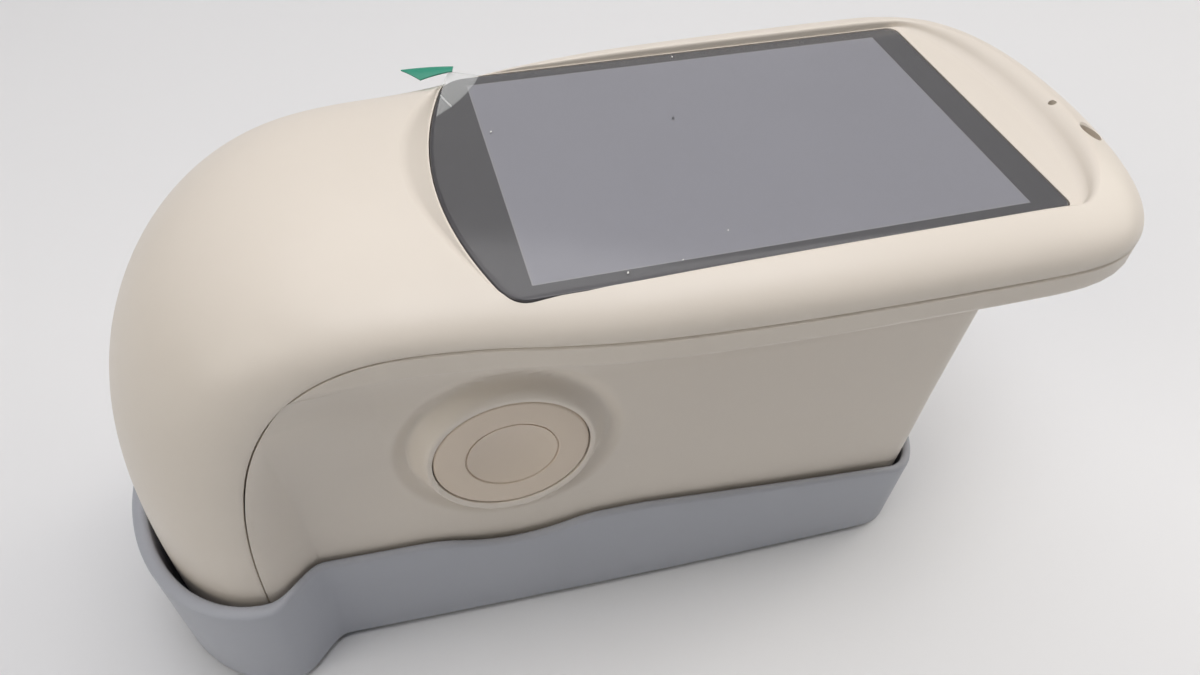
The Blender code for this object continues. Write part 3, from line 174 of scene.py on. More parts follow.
@dataclass(frozen=True)
class ShellForm:
    """The form that both shells share: parting line, crest, plan outline and grip."""

    foot_z: float = -0.080
    parting_z: float = -0.005
    crown_z: float = 0.0035
    head_x: float = -0.050
    crest_foot_x: float = -0.1024
    parting_foot_x: float = -0.0832
    rear_x: float = 0.0618
    rear_round_x: float = 0.035
    rear_fall: float = 0.014
    rear_square: float = 3.0
    crest_power: float = 3.3
    parting_power: float = 3.15
    foot_half: float = 0.0255
    nose_half: float = 0.0285
    nose_rise_power: float = 1.6
    nose_run: float = 0.0090
    head_half: float = 0.0355
    widening: Stations = (
        (-0.060, 0.0), (-0.056, 0.02), (-0.050, 0.08), (-0.043, 0.21), (-0.035, 0.44),
        (-0.026, 0.65), (-0.015, 0.80), (0.0, 0.915), (0.015, 0.97), (0.030, 1.0),
    )
    nose_power: float = 1.9
    shoulder_power: float = 2.1
    head_power: float = 2.7
    head_power_share: float = 0.5
    rear_power: float = 2.0
    grip_half: float = 0.025
    grip_rear_x: float = 0.0405
    grip_corner: float = 0.009
    tail_corners: float = 1.5
    waist_narrowing: float = 0.003
    waist_power: float = 1.6
    waist_limit: float = 1.3
    waist_x: float = -0.072
    wide_x: float = 0.035
    swell: Stations = (
        (-0.086, -0.0018), (-0.080, -0.0016), (-0.057, 0.0),
        (-0.042, 0.0009), (-0.030, 0.0018), (-0.019, 0.0027),
    )

    def nose_share(self, z: float) -> float:
        """How far up the nose a height lies, from 0 at the foot to 1 at the head."""
        return clamped((z - self.foot_z) / (self.parting_z - self.foot_z))

    def nose_half_width(self, z: float) -> float:
        """Half the width along the nose's parting line at height z."""
        rise = 1 - (1 - self.nose_share(z)) ** self.nose_rise_power
        return self.foot_half + (self.nose_half - self.foot_half) * rise

    def nose_side(self, foot: Vector) -> float:
        """Half the width at a point of the nose's parting line, with the head's widening."""
        widening = (self.head_half - self.nose_half) * through(self.widening, foot.x)
        return self.nose_half_width(foot.z) + widening

    def head_half_width(self, x: float, inset: float = 0.0) -> float:
        """Half the width of the head in plan at x, set in, and closing to nothing at the rear.

        Args:
            x: Place along the head.
            inset: How far it is set in.

        Returns:
            The half width.
        """
        width = self.nose_half + (self.head_half - self.nose_half) * through(self.widening, x) - inset
        share = clamped((x - self.rear_round_x) / (self.rear_x - inset - self.rear_round_x))
        return width * (1 - share**self.rear_square) ** (1 / self.rear_square)

    def parting_x(self, z: float) -> float:
        """Where the nose's parting line lies at height z."""
        reach = (1 - self.nose_share(z) ** self.parting_power) ** (1 / self.parting_power)
        return self.head_x + (self.parting_foot_x - self.head_x) * reach

    def nose_line(self, foot_x: float, top_z: float, power: float, turn: float) -> Vector:
        """A point of the nose's parting line or crest.

        Args:
            foot_x: Where the line starts at the foot.
            top_z: Its height at the head.
            power: Its exponent.
            turn: The angle, 0 at the foot and a right angle at the head.

        Returns:
            The point.
        """
        reach = max(math.cos(turn), 0.0) ** (2 / power)
        rise = math.sin(turn) ** (2 / power)
        x = self.head_x + (foot_x - self.head_x) * reach
        return Vector((x, 0.0, self.foot_z + (top_z - self.foot_z) * rise))

    def parting_point(self, turn: float) -> Vector:
        """A point of the nose's parting line."""
        return self.nose_line(self.parting_foot_x, self.parting_z, self.parting_power, turn)

    def crest_point(self, turn: float) -> Vector:
        """A point of the nose's crest."""
        return self.nose_line(self.crest_foot_x, self.crown_z, self.crest_power, turn)

    def crown(self, x: float) -> float:
        """Height of the head's crest at x."""
        fall = clamped((x - self.rear_x + self.rear_fall) / self.rear_fall)
        return self.parting_z + (self.crown_z - self.parting_z) * math.sqrt(1 - fall**2)

    def power(self, x: float) -> float:
        """Exponent of the head's section at x.

        Args:
            x: Place along the head.

        Returns:
            The exponent.
        """
        growth = eased((x - self.head_x) / (self.rear_round_x - self.head_x) / self.head_power_share)
        ending = eased((x - self.rear_round_x) / (self.rear_x - self.rear_round_x))
        rise = (self.head_power - self.shoulder_power) * growth
        return self.shoulder_power + rise + (self.rear_power - self.head_power) * ending

    def top_at(self, x: float, y: float) -> float:
        """Height of the head's outer face over a point in plan.

        Args:
            x: Place along the head.
            y: Place across it.

        Returns:
            The height.
        """
        share = min(abs(y) / max(self.head_half_width(x), GAP), 1.0)
        power = self.power(x)
        return self.parting_z + (self.crown(x) - self.parting_z) * (1 - share**power) ** (1 / power)

    def grip_half_width(self, x: float, z: float) -> float:
        """Half the width of the grip's wall at x and height z, swelling to the nose at the parting line.

        Args:
            x: Place along the grip.
            z: Height.

        Returns:
            The half width.
        """
        share = clamped((self.wide_x - x) / (self.wide_x - self.waist_x), self.waist_limit)
        body = self.grip_half - self.waist_narrowing * share**self.waist_power + through(self.swell, z)
        forward = 1 - eased((x - self.parting_x(z) - GAP) / self.nose_run)
        return body + (self.nose_half_width(z) - body) * forward

    def tail_x(self) -> float:
        """Where the grip's long walls give way to its rear end."""
        return self.grip_rear_x - self.tail_corners * self.grip_corner

    def tail(self, end: float, count: int) -> list[float]:
        """Places from there to a rear end, closer together towards it."""
        first = self.tail_x()
        return [first + (end - first) * math.sin(turn) for turn in angles(QUARTER_TURN, count)[1:]]


FORM = ShellForm()


def smoothed(mesh: bpy.types.Mesh) -> bpy.types.Mesh:
    """Shade a mesh round between its sharp edges."""
    mesh.shade_smooth()
    mesh.set_sharp_from_angle(angle=SHARP_ANGLE)
    return mesh


def placed(name: str, mesh: bpy.types.Mesh) -> bpy.types.Object:
    """Put a mesh in the scene under a name.

    Args:
        name: The object's name.
        mesh: Its mesh.

    Returns:
        The new object.
    """
    item = bpy.data.objects.new(name, mesh)
    bpy.context.scene.collection.objects.link(item)
    return item


def body_from(name: str, work: bmesh.types.BMesh) -> bpy.types.Object:
    """Make a bmesh an object with its faces outward.

    Args:
        name: The object's name.
        work: The bmesh, which is freed.

    Returns:
        The new object.
    """
    bmesh.ops.recalc_face_normals(work, faces=work.faces)
    mesh = bpy.data.meshes.new(name)
    work.to_mesh(mesh)
    work.free()
    return placed(name, smoothed(mesh))


def lofted(name: str, rings: Sequence[Ring]) -> bpy.types.Object:
    """A closed body through rings of equally many points, with caps on its two ends, moved to its place.

    Args:
        name: The object's name.
        rings: Closed rings of points from the middle of the display.

    Returns:
        The new object, at the origin with its place in its mesh.
    """
    work = bmesh.new()
    loops = [[work.verts.new(point + DATUM) for point in ring] for ring in rings]
    for lower, upper in zip(loops, loops[1:]):
        for here in range(len(lower)):
            there = (here + 1) % len(lower)
            work.faces.new((lower[here], lower[there], upper[there], upper[here]))
    work.faces.new(reversed(loops[0]))
    work.faces.new(loops[-1])
    return body_from(name, work)


def prism(name: str, outline: Outline, low: float, high: float) -> bpy.types.Object:
    """A closed upright prism over an outline in plan."""
    return lofted(name, [[Vector((x, y, level)) for x, y in outline] for level in (low, high)])


def cone(
    name: str, radii: tuple[float, float], length: float, at: Vector, turn: Matrix, sides: int
) -> bpy.types.Object:
    """A cone or cylinder round a point.

    Args:
        name: Its name.
        radii: Its radius below and above.
        length: Its length.
        at: Its middle, from the middle of the display.
        turn: How it is turned from upright.
        sides: Facets round it.

    Returns:
        The new object.
    """
    work = bmesh.new()
    low, high = radii
    bmesh.ops.create_cone(work, cap_ends=True, segments=sides, radius1=low, radius2=high, depth=length)
    bmesh.ops.transform(work, matrix=Matrix.Translation(at + DATUM) @ turn, verts=work.verts)
    return body_from(name, work)


def cylinder(
    name: str, radius: float, length: float, at: Vector, turn: Matrix = Matrix(), sides: int = 48
) -> bpy.types.Object:
    """A cylinder round a point given from the middle of the display, upright or turned."""
    return cone(name, (radius, radius), length, at, turn, sides)


def sheet(name: str, grid: Sequence[Ring], thickness: float) -> bpy.types.Object:
    """A closed thin sheet, moved to its place.

    Args:
        name: The object's name.
        grid: Rows of points on its underside, from the middle of the display.
        thickness: Its thickness.

    Returns:
        The new object.
    """
    work = bmesh.new()
    layers = []
    for rise in (0.0, thickness):
        offset = DATUM + Vector((0.0, 0.0, rise))
        layer = [[work.verts.new(point + offset) for point in row] for row in grid]
        layers.append(layer)
        for upper, lower in zip(layer, layer[1:]):
            for i in range(len(upper) - 1):
                work.faces.new((upper[i], lower[i], lower[i + 1], upper[i + 1]))
    below, above = layers
    rims = [(below[0], above[0]), (below[-1], above[-1])]
    rims += [([row[end] for row in below], [row[end] for row in above]) for end in (0, -1)]
    for low, high in rims:
        for i in range(len(low) - 1):
            work.faces.new((low[i], low[i + 1], high[i + 1], high[i]))
    return body_from(name, work)


def baked(item: bpy.types.Object) -> bpy.types.Object:
    """Keep what a piece's modifiers make as its plain mesh.

    Args:
        item: The piece.

    Returns:
        The piece, with its new mesh and no modifier.
    """
    graph = bpy.context.evaluated_depsgraph_get()
    mesh = bpy.data.meshes.new_from_object(item.evaluated_get(graph))
    item.modifiers.clear()
    item.data = mesh
    return item


def carve(item: bpy.types.Object, tools: Sequence[tuple[bpy.types.Object, str]]) -> bpy.types.Object:
    """Cut tools out of a piece or join them on, apply the result and remove the tools.

    Args:
        item: The piece.
        tools: Pairs of a tool and its Boolean operation.

    Returns:
        The piece with its new mesh.
    """
    for tool, operation in tools:
        step = item.modifiers.new(tool.name, "BOOLEAN")
        step.operation = operation
        step.object = tool
        step.solver = "EXACT"
    mesh = baked(item).data
    work = bmesh.new()
    work.from_mesh(mesh)
    bmesh.ops.remove_doubles(work, verts=work.verts, dist=1e-6)
    bmesh.ops.dissolve_degenerate(work, edges=work.edges, dist=2e-6)
    work.to_mesh(mesh)
    work.free()
    smoothed(mesh)
    for tool, _ in tools:
        bpy.data.objects.remove(tool, do_unlink=True)
    return item


def show(
    item: bpy.types.Object,
    body: Body,
    material: bpy.types.Material,
    replaces: str | None = None,
    slot: Slot | None = None,
) -> bpy.types.Object:
    """Finish a piece, tie it to its body and let it stand for the plain solid that it draws.

    Args:
        item: The piece.
        body: The body that it rides on.
        material: Its material.
        replaces: The node that it stands for, if any.
        slot: The record's slot for a piece that stands for no node; it is not used.

    Returns:
        The piece.
    """
    item.data.materials.clear()
    item.data.materials.append(material)
    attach(item, body.value)
    if replaces:
        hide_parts(replaces)
    return item


@dataclass(frozen=True)
class GlassForm:
    """Outlines round the display: the cover glass, and the pocket that it lies in."""

    half: float = 0.0272
    front_x: float = -0.046
    bow: float = 0.0058
    front_corner: float = 0.0032
    corner: float = 0.002
    thickness: float = 0.0016

    def front(self, offset: float, extra: float = 0.0, steps: int = 48, corner_steps: int = 10) -> Outline:
        """The bowed front edge from +Y to -Y with its soft corners.

        Args:
            offset: How far it lies outside the glass.
            extra: How much further out its middle lies.
            steps: Facets along the bow.
            corner_steps: Facets in each corner.

        Returns:
            Its (x, y) points.
        """
        half = self.half + offset
        corner_x = self.front_x + self.bow - offset
        reach = half - self.front_corner

        def bowed(y: float) -> float:
            """Where the bow lies at y."""
            return corner_x - (self.bow + extra) * (1 - (y / half) ** 2)

        controls = ((corner_x + self.front_corner, half), (corner_x, half), (bowed(reach), reach))
        corner = []
        for t in spread(0, 1, corner_steps)[:-1]:
            weights = ((1 - t) ** 2, 2 * t * (1 - t), t**2)
            corner.append(tuple(sum(w * point[i] for w, point in zip(weights, controls)) for i in (0, 1)))
        arc = [(bowed(y), y) for y in spread(reach, -reach, steps)]
        return [*corner, *arc, *[(x, -y) for x, y in reversed(corner)]]

    def outline(self, offset: float = 0.0) -> Outline:
        """The glass in plan, moved out by an offset.

        Args:
            offset: How far.

        Returns:
            Its (x, y) points.
        """
        half, rear = self.half + offset, GLASS_REAR_X + offset
        x, y = rear - self.corner, half - self.corner
        turns = angles(QUARTER_TURN, 8)
        arc = [(x + self.corner * math.sin(turn), y + self.corner * math.cos(turn)) for turn in turns]
        return [*self.front(offset), *[(x, -y) for x, y in arc], *reversed(arc)]


GLASS = GlassForm()


@dataclass
class TopCover:
    """The hood: one moulding from the nose over the shoulder to the rear overhang, with the pocket."""

    wall: float = 0.002
    edge: float = 0.0003
    edge_step: float = 0.3
    edge_limit: float = 0.5
    section_steps: int = 92
    foot_overcut: float = 0.006
    below_parting: float = 1.5
    roof_z: float = -0.0038
    roof_power: float = 8.0
    roof_from: float = 70.0
    roof_over: float = 18.0
    seat_z: float = -0.0019
    window: tuple[float, float] = (0.0383, 0.0260)
    pocket_top: float = 0.006
    least_depth: float = 0.0008
    front_slope: float = 0.857
    side_slope: float = 0.17
    rear_reach: float = 0.0080
    rear_slope: float = 1.15
    blend: float = 0.006
    front_blend_x: float = -0.042
    fillet: float = 0.0012
    fillet_share: float = 0.4
    front_round: float = 0.0010
    side_round: float = 0.0007
    rear_round: float = 0.0022
    round_share: float = 0.55
    round_drop: float = 0.8
    rim_rise: float = 0.00002
    search_top: float = 0.0045
    halvings: int = 24
    runout: tuple[float, float] = (0.001, 0.003)
    holes: tuple[tuple[float, float, float], ...] = ((0.0535, -0.0048, 0.0006), (0.0554, -0.0126, 0.0019))
    hole_length: float = 0.03
    sink_shares: tuple[float, float] = (0.9, 1.35)
    sink_depth: float = 0.0008
    sink_level: float = 0.0001

    def nose(self, count: int) -> Iterator[tuple[float, Vector, Vector, float]]:
        """Where the nose's sections stand.

        Args:
            count: Steps round the nose.

        Yields:
            Degrees from the foot, the section's foot and crest, and its exponent.
        """
        for degrees in spread(0, NOSE_TURN, count):
            turn = math.radians(degrees)
            power = FORM.nose_power + (FORM.shoulder_power - FORM.nose_power) * math.sin(turn) ** 2
            yield degrees, FORM.parting_point(turn), FORM.crest_point(turn), power

    def head(self, end: float, straight: int, rounded: int) -> list[float]:
        """Where the head's sections stand.

        Args:
            end: The head's rear end.
            straight: Steps up to where the rear end rounds off.
            rounded: Steps from there, closer together towards the end.

        Returns:
            Their places along the head.
        """
        reach = end - FORM.rear_round_x
        stations = spread(FORM.head_x, FORM.rear_round_x, straight)[:-1]
        return stations + [FORM.rear_round_x + reach * math.sin(turn) for turn in angles(END_TURN, rounded)]

    def section(self, foot: Vector, crest: Vector, half: float, power: float) -> Ring:
        """Half a superellipse over a foot point, with its lower edges broken.

        Args:
            foot: Middle of the section's base, on the parting line.
            crest: Top of the section.
            half: Half the width of the base.
            power: Exponent of the curve.

        Returns:
            The ring's points.
        """
        rise = crest - foot
        step = rise.normalized() * self.edge_step * self.edge
        inner, outer = Vector((0, half - self.edge, 0)), Vector((0, half - self.edge_step * self.edge, 0))
        low = math.asin(min((self.edge / rise.length) ** (power / 2), self.edge_limit))
        arc = superellipse(foot, rise, half, power, spread(low, math.pi - low, self.section_steps))
        return [foot + inner, foot + outer + step, *arc, foot - outer + step, foot - inner]

    def inner_section(self, foot: Vector, crest: Vector, half: float, power: float) -> Ring:
        """A section of the inside, which reaches below the parting line.

        Args:
            foot: Middle of the section on the parting line.
            crest: Top of the section.
            half: Half its width.
            power: Exponent of the curve.

        Returns:
            The ring's points.
        """
        rise = crest - foot
        below = foot - rise.normalized() * self.below_parting * self.wall
        side = Vector((0, half, 0))
        return [below + side, *superellipse(foot, rise, half, power, spread(0, math.pi, 32)), below - side]

    def hollow(self) -> list[Ring]:
        """Sections of the inside, a wall within the outer ones and flat under the display.

        Returns:
            The rings, from below the foot to the rear end.
        """
        rings = []
        for degrees, foot, crest, power in self.nose(20):
            crest -= (crest - foot).normalized() * self.wall
            share = eased((degrees - self.roof_from) / self.roof_over)
            crest.z += (self.roof_z - crest.z) * share
            half = FORM.nose_side(foot) - self.wall
            rings.append(self.inner_section(foot, crest, half, power + (self.roof_power - power) * share))
        rings.insert(0, [point - Vector((0, 0, self.foot_overcut)) for point in rings[0]])
        for x in self.head(FORM.rear_x - self.wall, 8, 10):
            foot, crest = Vector((x, 0.0, FORM.parting_z)), Vector((x, 0.0, self.roof_z))
            half = FORM.head_half_width(x, self.wall)
            rings.append(self.inner_section(foot, crest, half, self.roof_power))
        return rings

    def outside(self) -> list[Ring]:
        """Sections from the foot of the nose round the shoulder to the rear end.

        Returns:
            The rings.
        """
        rings = []
        for _, foot, crest, power in self.nose(56):
            rings.append(self.section(foot, crest, FORM.nose_side(foot), power))
        for x in self.head(FORM.rear_x, 44, 40):
            foot, crest = Vector((x, 0.0, FORM.parting_z)), Vector((x, 0.0, FORM.crown(x)))
            rings.append(self.section(foot, crest, FORM.head_half_width(x), FORM.power(x)))
        return rings

    def pocket_outline(self, level: float, reach: float, side_steps: int = 30, rear_steps: int = 72) -> Ring:
        """The pocket in plan at one height, with points along its straight sides too.

        Args:
            level: Height over the face of the glass.
            reach: How far the rear end lies behind the glass.
            side_steps: Facets along each side.
            rear_steps: Facets round the rear end.

        Returns:
            Its points at that height.
        """
        offset = GAP + self.side_slope * level
        front = GLASS.front(offset, self.front_slope * level)
        half = GLASS.half + offset
        near = [(x, -half) for x in spread(front[-1][0], GLASS_REAR_X, side_steps)[1:-1]]
        turns = [math.pi * (step / rear_steps - 0.5) for step in range(rear_steps + 1)]
        rear = [(GLASS_REAR_X + reach * math.cos(turn), half * math.sin(turn)) for turn in turns]
        far = [(x, half) for x in spread(GLASS_REAR_X, front[0][0], side_steps)[1:-1]]
        return [Vector((x, y, level)) for x, y in [*front, *near, *rear, *far]]

    def pocket_profile(self, low: Vector, lean: Vector, outward: Vector) -> Ring:
        """The pocket's wall at one place: fillet, leaning wall and a round rim that runs out into the hood.

        Args:
            low: Its foot on the floor.
            lean: How far the wall moves for each unit of height.
            outward: The way out of the pocket in plan.

        Returns:
            Its points from the floor up.
        """
        meeting = low + lean * max(self.surface_level(low, lean), self.least_depth)
        rear = eased((meeting.x - GLASS_REAR_X) / self.blend)
        front = 1 - eased((meeting.x - self.front_blend_x) / self.blend)
        radius = self.side_round + (self.rear_round - self.side_round) * rear
        radius = min(radius + (self.front_round - self.side_round) * front, self.round_share * meeting.z)
        fillet = min(self.fillet, self.fillet_share * meeting.z)
        profile = []
        for turn in angles(QUARTER_TURN, 6):
            point = low + lean * fillet * (1 - math.cos(turn))
            profile.append(point - outward * rear * self.fillet * (1 - math.sin(turn)))
        first = meeting - lean * radius
        last = meeting + outward * radius
        last.z = max(FORM.top_at(last.x, last.y) + self.rim_rise, meeting.z - self.round_drop * radius)
        profile += [first * (1 - t) ** 2 + meeting * 2 * t * (1 - t) + last * t**2 for t in spread(0, 1, 8)]
        out, up = self.runout
        return [*profile, last + outward * out + Vector((0, 0, up))]

    def pocket(self) -> bpy.types.Object:
        """The cutter of the pocket, lofted from its floor up.

        Returns:
            The cutter.
        """
        low = self.pocket_outline(0.0, self.rear_reach)
        high = self.pocket_outline(self.pocket_top, self.rear_reach + self.pocket_top * self.rear_slope)
        profiles = []
        for i, foot in enumerate(low):
            along = (low[(i + 1) % len(low)] - low[i - 1]).normalized()
            outward = Vector((-along.y, along.x, 0.0))
            if outward.dot(Vector((foot.x, foot.y * 2, 0.0))) < 0:
                outward.negate()
            profiles.append(self.pocket_profile(foot, (high[i] - foot) / self.pocket_top, outward))
        return lofted("pocket", list(zip(*profiles)))

    def surface_level(self, low: Vector, lean: Vector) -> float:
        """Find where a leaning line from the pocket's floor comes out of the hood.

        Args:
            low: Its foot.
            lean: How far it moves for each unit of height.

        Returns:
            The height there.
        """
        bottom, top = 0.0, self.search_top
        for _ in range(self.halvings):
            level = (bottom + top) / 2
            point = low + lean * level
            if FORM.top_at(point.x, point.y) > level:
                bottom = level
            else:
                top = level
        return bottom

    def countersink(self, x: float, y: float, radius: float) -> bpy.types.Object:
        """A small cone, square to the hood's face, that breaks the edge of a hole in it.

        Args:
            x: The hole's place along the hood.
            y: Its place across.
            radius: Its radius.

        Returns:
            The cutter.
        """
        slope_x = (FORM.top_at(x + radius, y) - FORM.top_at(x - radius, y)) / (2 * radius)
        slope_y = (FORM.top_at(x, y + radius) - FORM.top_at(x, y - radius)) / (2 * radius)
        turn = Vector((-slope_x, -slope_y, 1.0)).to_track_quat("Z", "Y").to_matrix().to_4x4()
        at = Vector((x, y, FORM.top_at(x, y) - self.sink_level))
        low, high = self.sink_shares
        return cone("countersink", (radius * low, radius * high), self.sink_depth, at, turn, 40)

    def build(self, material: bpy.types.Material) -> bpy.types.Object:
        """Loft the hood, hollow it and cut the pocket, the glass's seat, the window and the two holes.

        Args:
            material: Its material.

        Returns:
            The piece.
        """
        half_x, half_y = self.window
        window = [(-half_x, -half_y), (half_x, -half_y), (half_x, half_y), (-half_x, half_y)]
        cutters = [
            lofted("hollow", self.hollow()),
            self.pocket(),
            prism("seat", GLASS.outline(GAP / 3), self.seat_z, GAP),
            prism("window", window, 2 * self.roof_z, self.seat_z / 2),
        ]
        for x, y, radius in self.holes:
            cutters.append(cylinder("hole", radius, self.hole_length, Vector((x, y, FORM.crown_z))))
            cutters.append(self.countersink(x, y, radius))
        cover = lofted("hood", self.outside())
        carve(cover, [(cutter, "DIFFERENCE") for cutter in cutters])
        return show(cover, Body.CASE, material, "top_cover")


@dataclass
class GripHousing:
    """The lower shell: grip, cove and lip as one stack of plan outlines, parted from the hood."""

    front_x: float = -0.094
    key_x: float = -0.0413
    key_z: float = -0.0325
    key_radius: float = 0.0121
    key_gap: float = 0.00015
    boss_face: float = 0.0267
    boss_crest: float = 0.0126
    boss_foot: float = 0.0160
    boss_tall: float = 1.08
    moat_at: float = 0.0155
    moat_half: float = 0.0028
    moat_depth: float = 0.0012
    bead_height: float = 0.0002
    bead_half: float = 0.0009
    parting_gap: float = 0.00018
    cutter_half: float = 0.07
    cutter_foot: float = 0.006
    cutter_top: float = 0.007
    cutter_front: float = -0.16
    cutter_rear: float = 0.01
    lip_foot_z: float = -0.0097
    lip_radius: float = 0.0015
    lip_fade: tuple[float, float] = (-0.068, -0.052)
    lip_edge: float = 0.0004
    lip_step: float = 0.0002
    cove_height: float = 0.008
    cove_rear: float = 0.005
    wall: float = 0.0022
    foot_overcut: float = 0.003
    pan_floor: float = 0.002
    lanyard: tuple[float, float, float, float] = (0.0554, -0.0126, 0.0019, 0.0015)
    lanyard_top: float = -0.0041
    lanyard_floor: float = 0.001
    bore_length: float = 0.032
    fine: int = 96
    coarse: int = 16
    straight: int = 14
    levels: int = 80
    socket: tuple[float, float, float] = (-0.024, 0.0096, 0.0039)
    socket_from: tuple[float, float] = (0.033, 0.048)

    def swell(self, x: float, z: float, wall: float) -> float:
        """How far the near wall stands out round the key: level with its face, in a ring over a soft moat.

        Args:
            x: Place along the wall.
            z: Height.
            wall: Half the width of the plain wall there.

        Returns:
            The distance.
        """
        distance = math.hypot(x - self.key_x, (z - self.key_z) / self.boss_tall)
        level = 1 - eased((distance - self.boss_crest) / (self.boss_foot - self.boss_crest))
        moat = eased(1 - abs(distance - self.moat_at) / self.moat_half)
        outside = math.hypot(x - self.key_x, z - self.key_z) - self.key_radius
        bead = eased(1 - abs(outside - self.bead_half) / self.bead_half)
        return (self.boss_face - wall) * level - self.moat_depth * moat + self.bead_height * bead

    def plan(
        self, level: float, half: Callable[[float], float], end: float, fine: int, swell: bool = False
    ) -> Ring:
        """A plan outline at one level.

        Args:
            level: Its height.
            half: Half the width at x.
            end: Where the rear end lies.
            fine: How closely the near side is read round the key.
            swell: Whether the near side swells round the key.

        Returns:
            Its points: along the near side to the rear end and back along the far side.
        """
        reach = self.moat_at + self.moat_half
        key = (self.key_x - reach, self.key_x + reach)
        start = FORM.parting_foot_x
        nose = [self.front_x, *spread(start, start + FORM.nose_run, self.straight)]
        rear = spread(key[1], FORM.tail_x(), self.straight)[1:]
        tail = FORM.tail(end, self.coarse)
        ring = []
        for x in [*nose, *spread(*key, fine), *rear, *tail]:
            extra = self.swell(x, level, half(x)) if swell and x < end - FORM.grip_corner else 0.0
            ring.append(Vector((x, -half(x) - extra, level)))
        far = [*nose, *spread(*key, self.coarse), *rear, *tail[:-1]]
        return ring + [Vector((x, half(x), level)) for x in reversed(far)]

    def lip_half(self, x: float, inset: float) -> float:
        """Half the width of the lip, set in where it stands proud of the nose.

        Args:
            x: Place along the lip.
            inset: How far it is set in.

        Returns:
            The half width.
        """
        if x > FORM.head_x:
            return FORM.head_half_width(x, inset)
        start, full = self.lip_fade
        return FORM.head_half_width(x) - inset * eased((x - start) / (full - start))

    def cove_foot(self) -> float:
        """Height at which the grip's wall begins to curve out under the lip."""
        return self.lip_foot_z - GAP - self.cove_height

    def grip_rings(self) -> list[Ring]:
        """The grip's wall with its swell, from the foot to the cove.

        Returns:
            The rings.
        """
        low = self.key_z - (self.moat_at + self.moat_half) * self.boss_tall
        rings = []
        for z in [*spread(FORM.foot_z, low, 10), *spread(low, self.cove_foot(), self.levels)[1:]]:
            def wall(x: float, z: float = z) -> float:
                """Half the width of the grip's outside."""
                return closed_end(x, FORM.grip_half_width(x, z), FORM.grip_rear_x, FORM.grip_corner)
            rings.append(self.plan(z, wall, FORM.grip_rear_x, self.fine, True))
        return rings

    def cove_rings(self) -> list[Ring]:
        """The hollow curve from the grip's wall out to the lip.

        Returns:
            The rings.
        """
        start, full = self.lip_fade
        rings = []
        for turn in angles(QUARTER_TURN, 16)[1:]:
            z, bow = self.cove_foot() + self.cove_height * math.sin(turn), 1 - math.cos(turn)
            end = FORM.grip_rear_x + self.cove_rear * bow

            def cove(x: float, z: float = z, bow: float = bow, end: float = end) -> float:
                """Half the width of the curve."""
                grip = FORM.grip_half_width(x, z)
                edge = self.lip_radius * eased((x - start) / (full - start))
                reach = max(FORM.head_half_width(min(x, FORM.rear_round_x)) - edge - grip, 0.0)
                return closed_end(x, grip + reach * bow, end, FORM.grip_corner + self.cove_rear * bow)
            rings.append(self.plan(z, cove, end, self.fine, True))
        return rings

    def lip_rings(self) -> list[Ring]:
        """The lip with its round lower edge and its broken upper one.

        Returns:
            The rings.
        """
        levels = []
        for turn in angles(QUARTER_TURN, 8):
            inset = self.lip_radius * (1 - math.sin(turn))
            levels.append((self.lip_foot_z + self.lip_radius * (1 - math.cos(turn)), inset))
        levels += [(FORM.parting_z - GAP - self.lip_step, 0.0), (FORM.parting_z, self.lip_edge)]
        rings = []
        for z, inset in levels:
            rings.append(self.plan(z, lambda x, i=inset: self.lip_half(x, i), FORM.rear_x - inset, self.fine))
        return rings

    def hollow(self) -> list[Ring]:
        """The inside of the grip, open at the foot, and the pan in the lip, open at the parting line.

        Returns:
            The rings.
        """
        cove_foot = self.cove_foot()
        pan = self.lip_foot_z + self.pan_floor
        end, rear = FORM.grip_rear_x - self.wall, FORM.rear_x - self.wall
        rings = []
        for z in [FORM.foot_z - self.foot_overcut, *spread(FORM.foot_z, cove_foot, 6)[1:], pan - GAP]:
            def wall(x: float, z: float = min(z, cove_foot)) -> float:
                """Half the width of the grip's inside."""
                inner = FORM.grip_half_width(x, z) - self.wall
                return closed_end(x, inner, end, FORM.grip_corner - self.wall)
            rings.append(self.plan(z, wall, end, self.coarse))
        for z in (pan, 0.0):
            rings.append(self.plan(z, lambda x: FORM.head_half_width(x, self.wall), rear, self.coarse))
        return rings

    def parting(self) -> bpy.types.Object:
        """The cutter of everything above and before the parting line.

        Returns:
            The cutter.
        """
        points = [FORM.parting_point(turn) for turn in angles(NOSE_TURN, 72)]
        points.append(Vector((FORM.head_x, 0.0, FORM.parting_z)))
        outline = []
        for here, point in enumerate(points):
            along = points[min(here + 1, len(points) - 1)] - points[max(here - 1, 0)]
            edge = point + Vector((along.z, 0.0, -along.x)).normalized() * self.parting_gap
            outline.append((edge.x, edge.z))
        front, foot = outline[0][0], outline[0][1] - self.cutter_foot
        rear, level = FORM.rear_x + self.cutter_rear, FORM.parting_z - self.parting_gap
        around = [(rear, level), (rear, self.cutter_top)]
        around += [(self.cutter_front, self.cutter_top), (self.cutter_front, foot)]
        outline = [(front, foot), *outline, *around]
        sides = (-self.cutter_half, self.cutter_half)
        return lofted("parting", [[Vector((x, side, z)) for x, z in outline] for side in sides])

    def socket_opening(self) -> bpy.types.Object:
        """The cutter of the socket's opening in the rear wall, round at both ends.

        Returns:
            The cutter.
        """
        level, width, height = self.socket
        reach, radius = width / 2 - height / 2, height / 2
        turns = angles(180, 14)
        slot = [(reach + radius * math.sin(turn), radius * math.cos(turn)) for turn in turns]
        slot += [(-reach - radius * math.sin(turn), -radius * math.cos(turn)) for turn in turns]
        rings = [[Vector((x, u, level + v)) for u, v in slot] for x in self.socket_from]
        return lofted("socket_opening", rings)

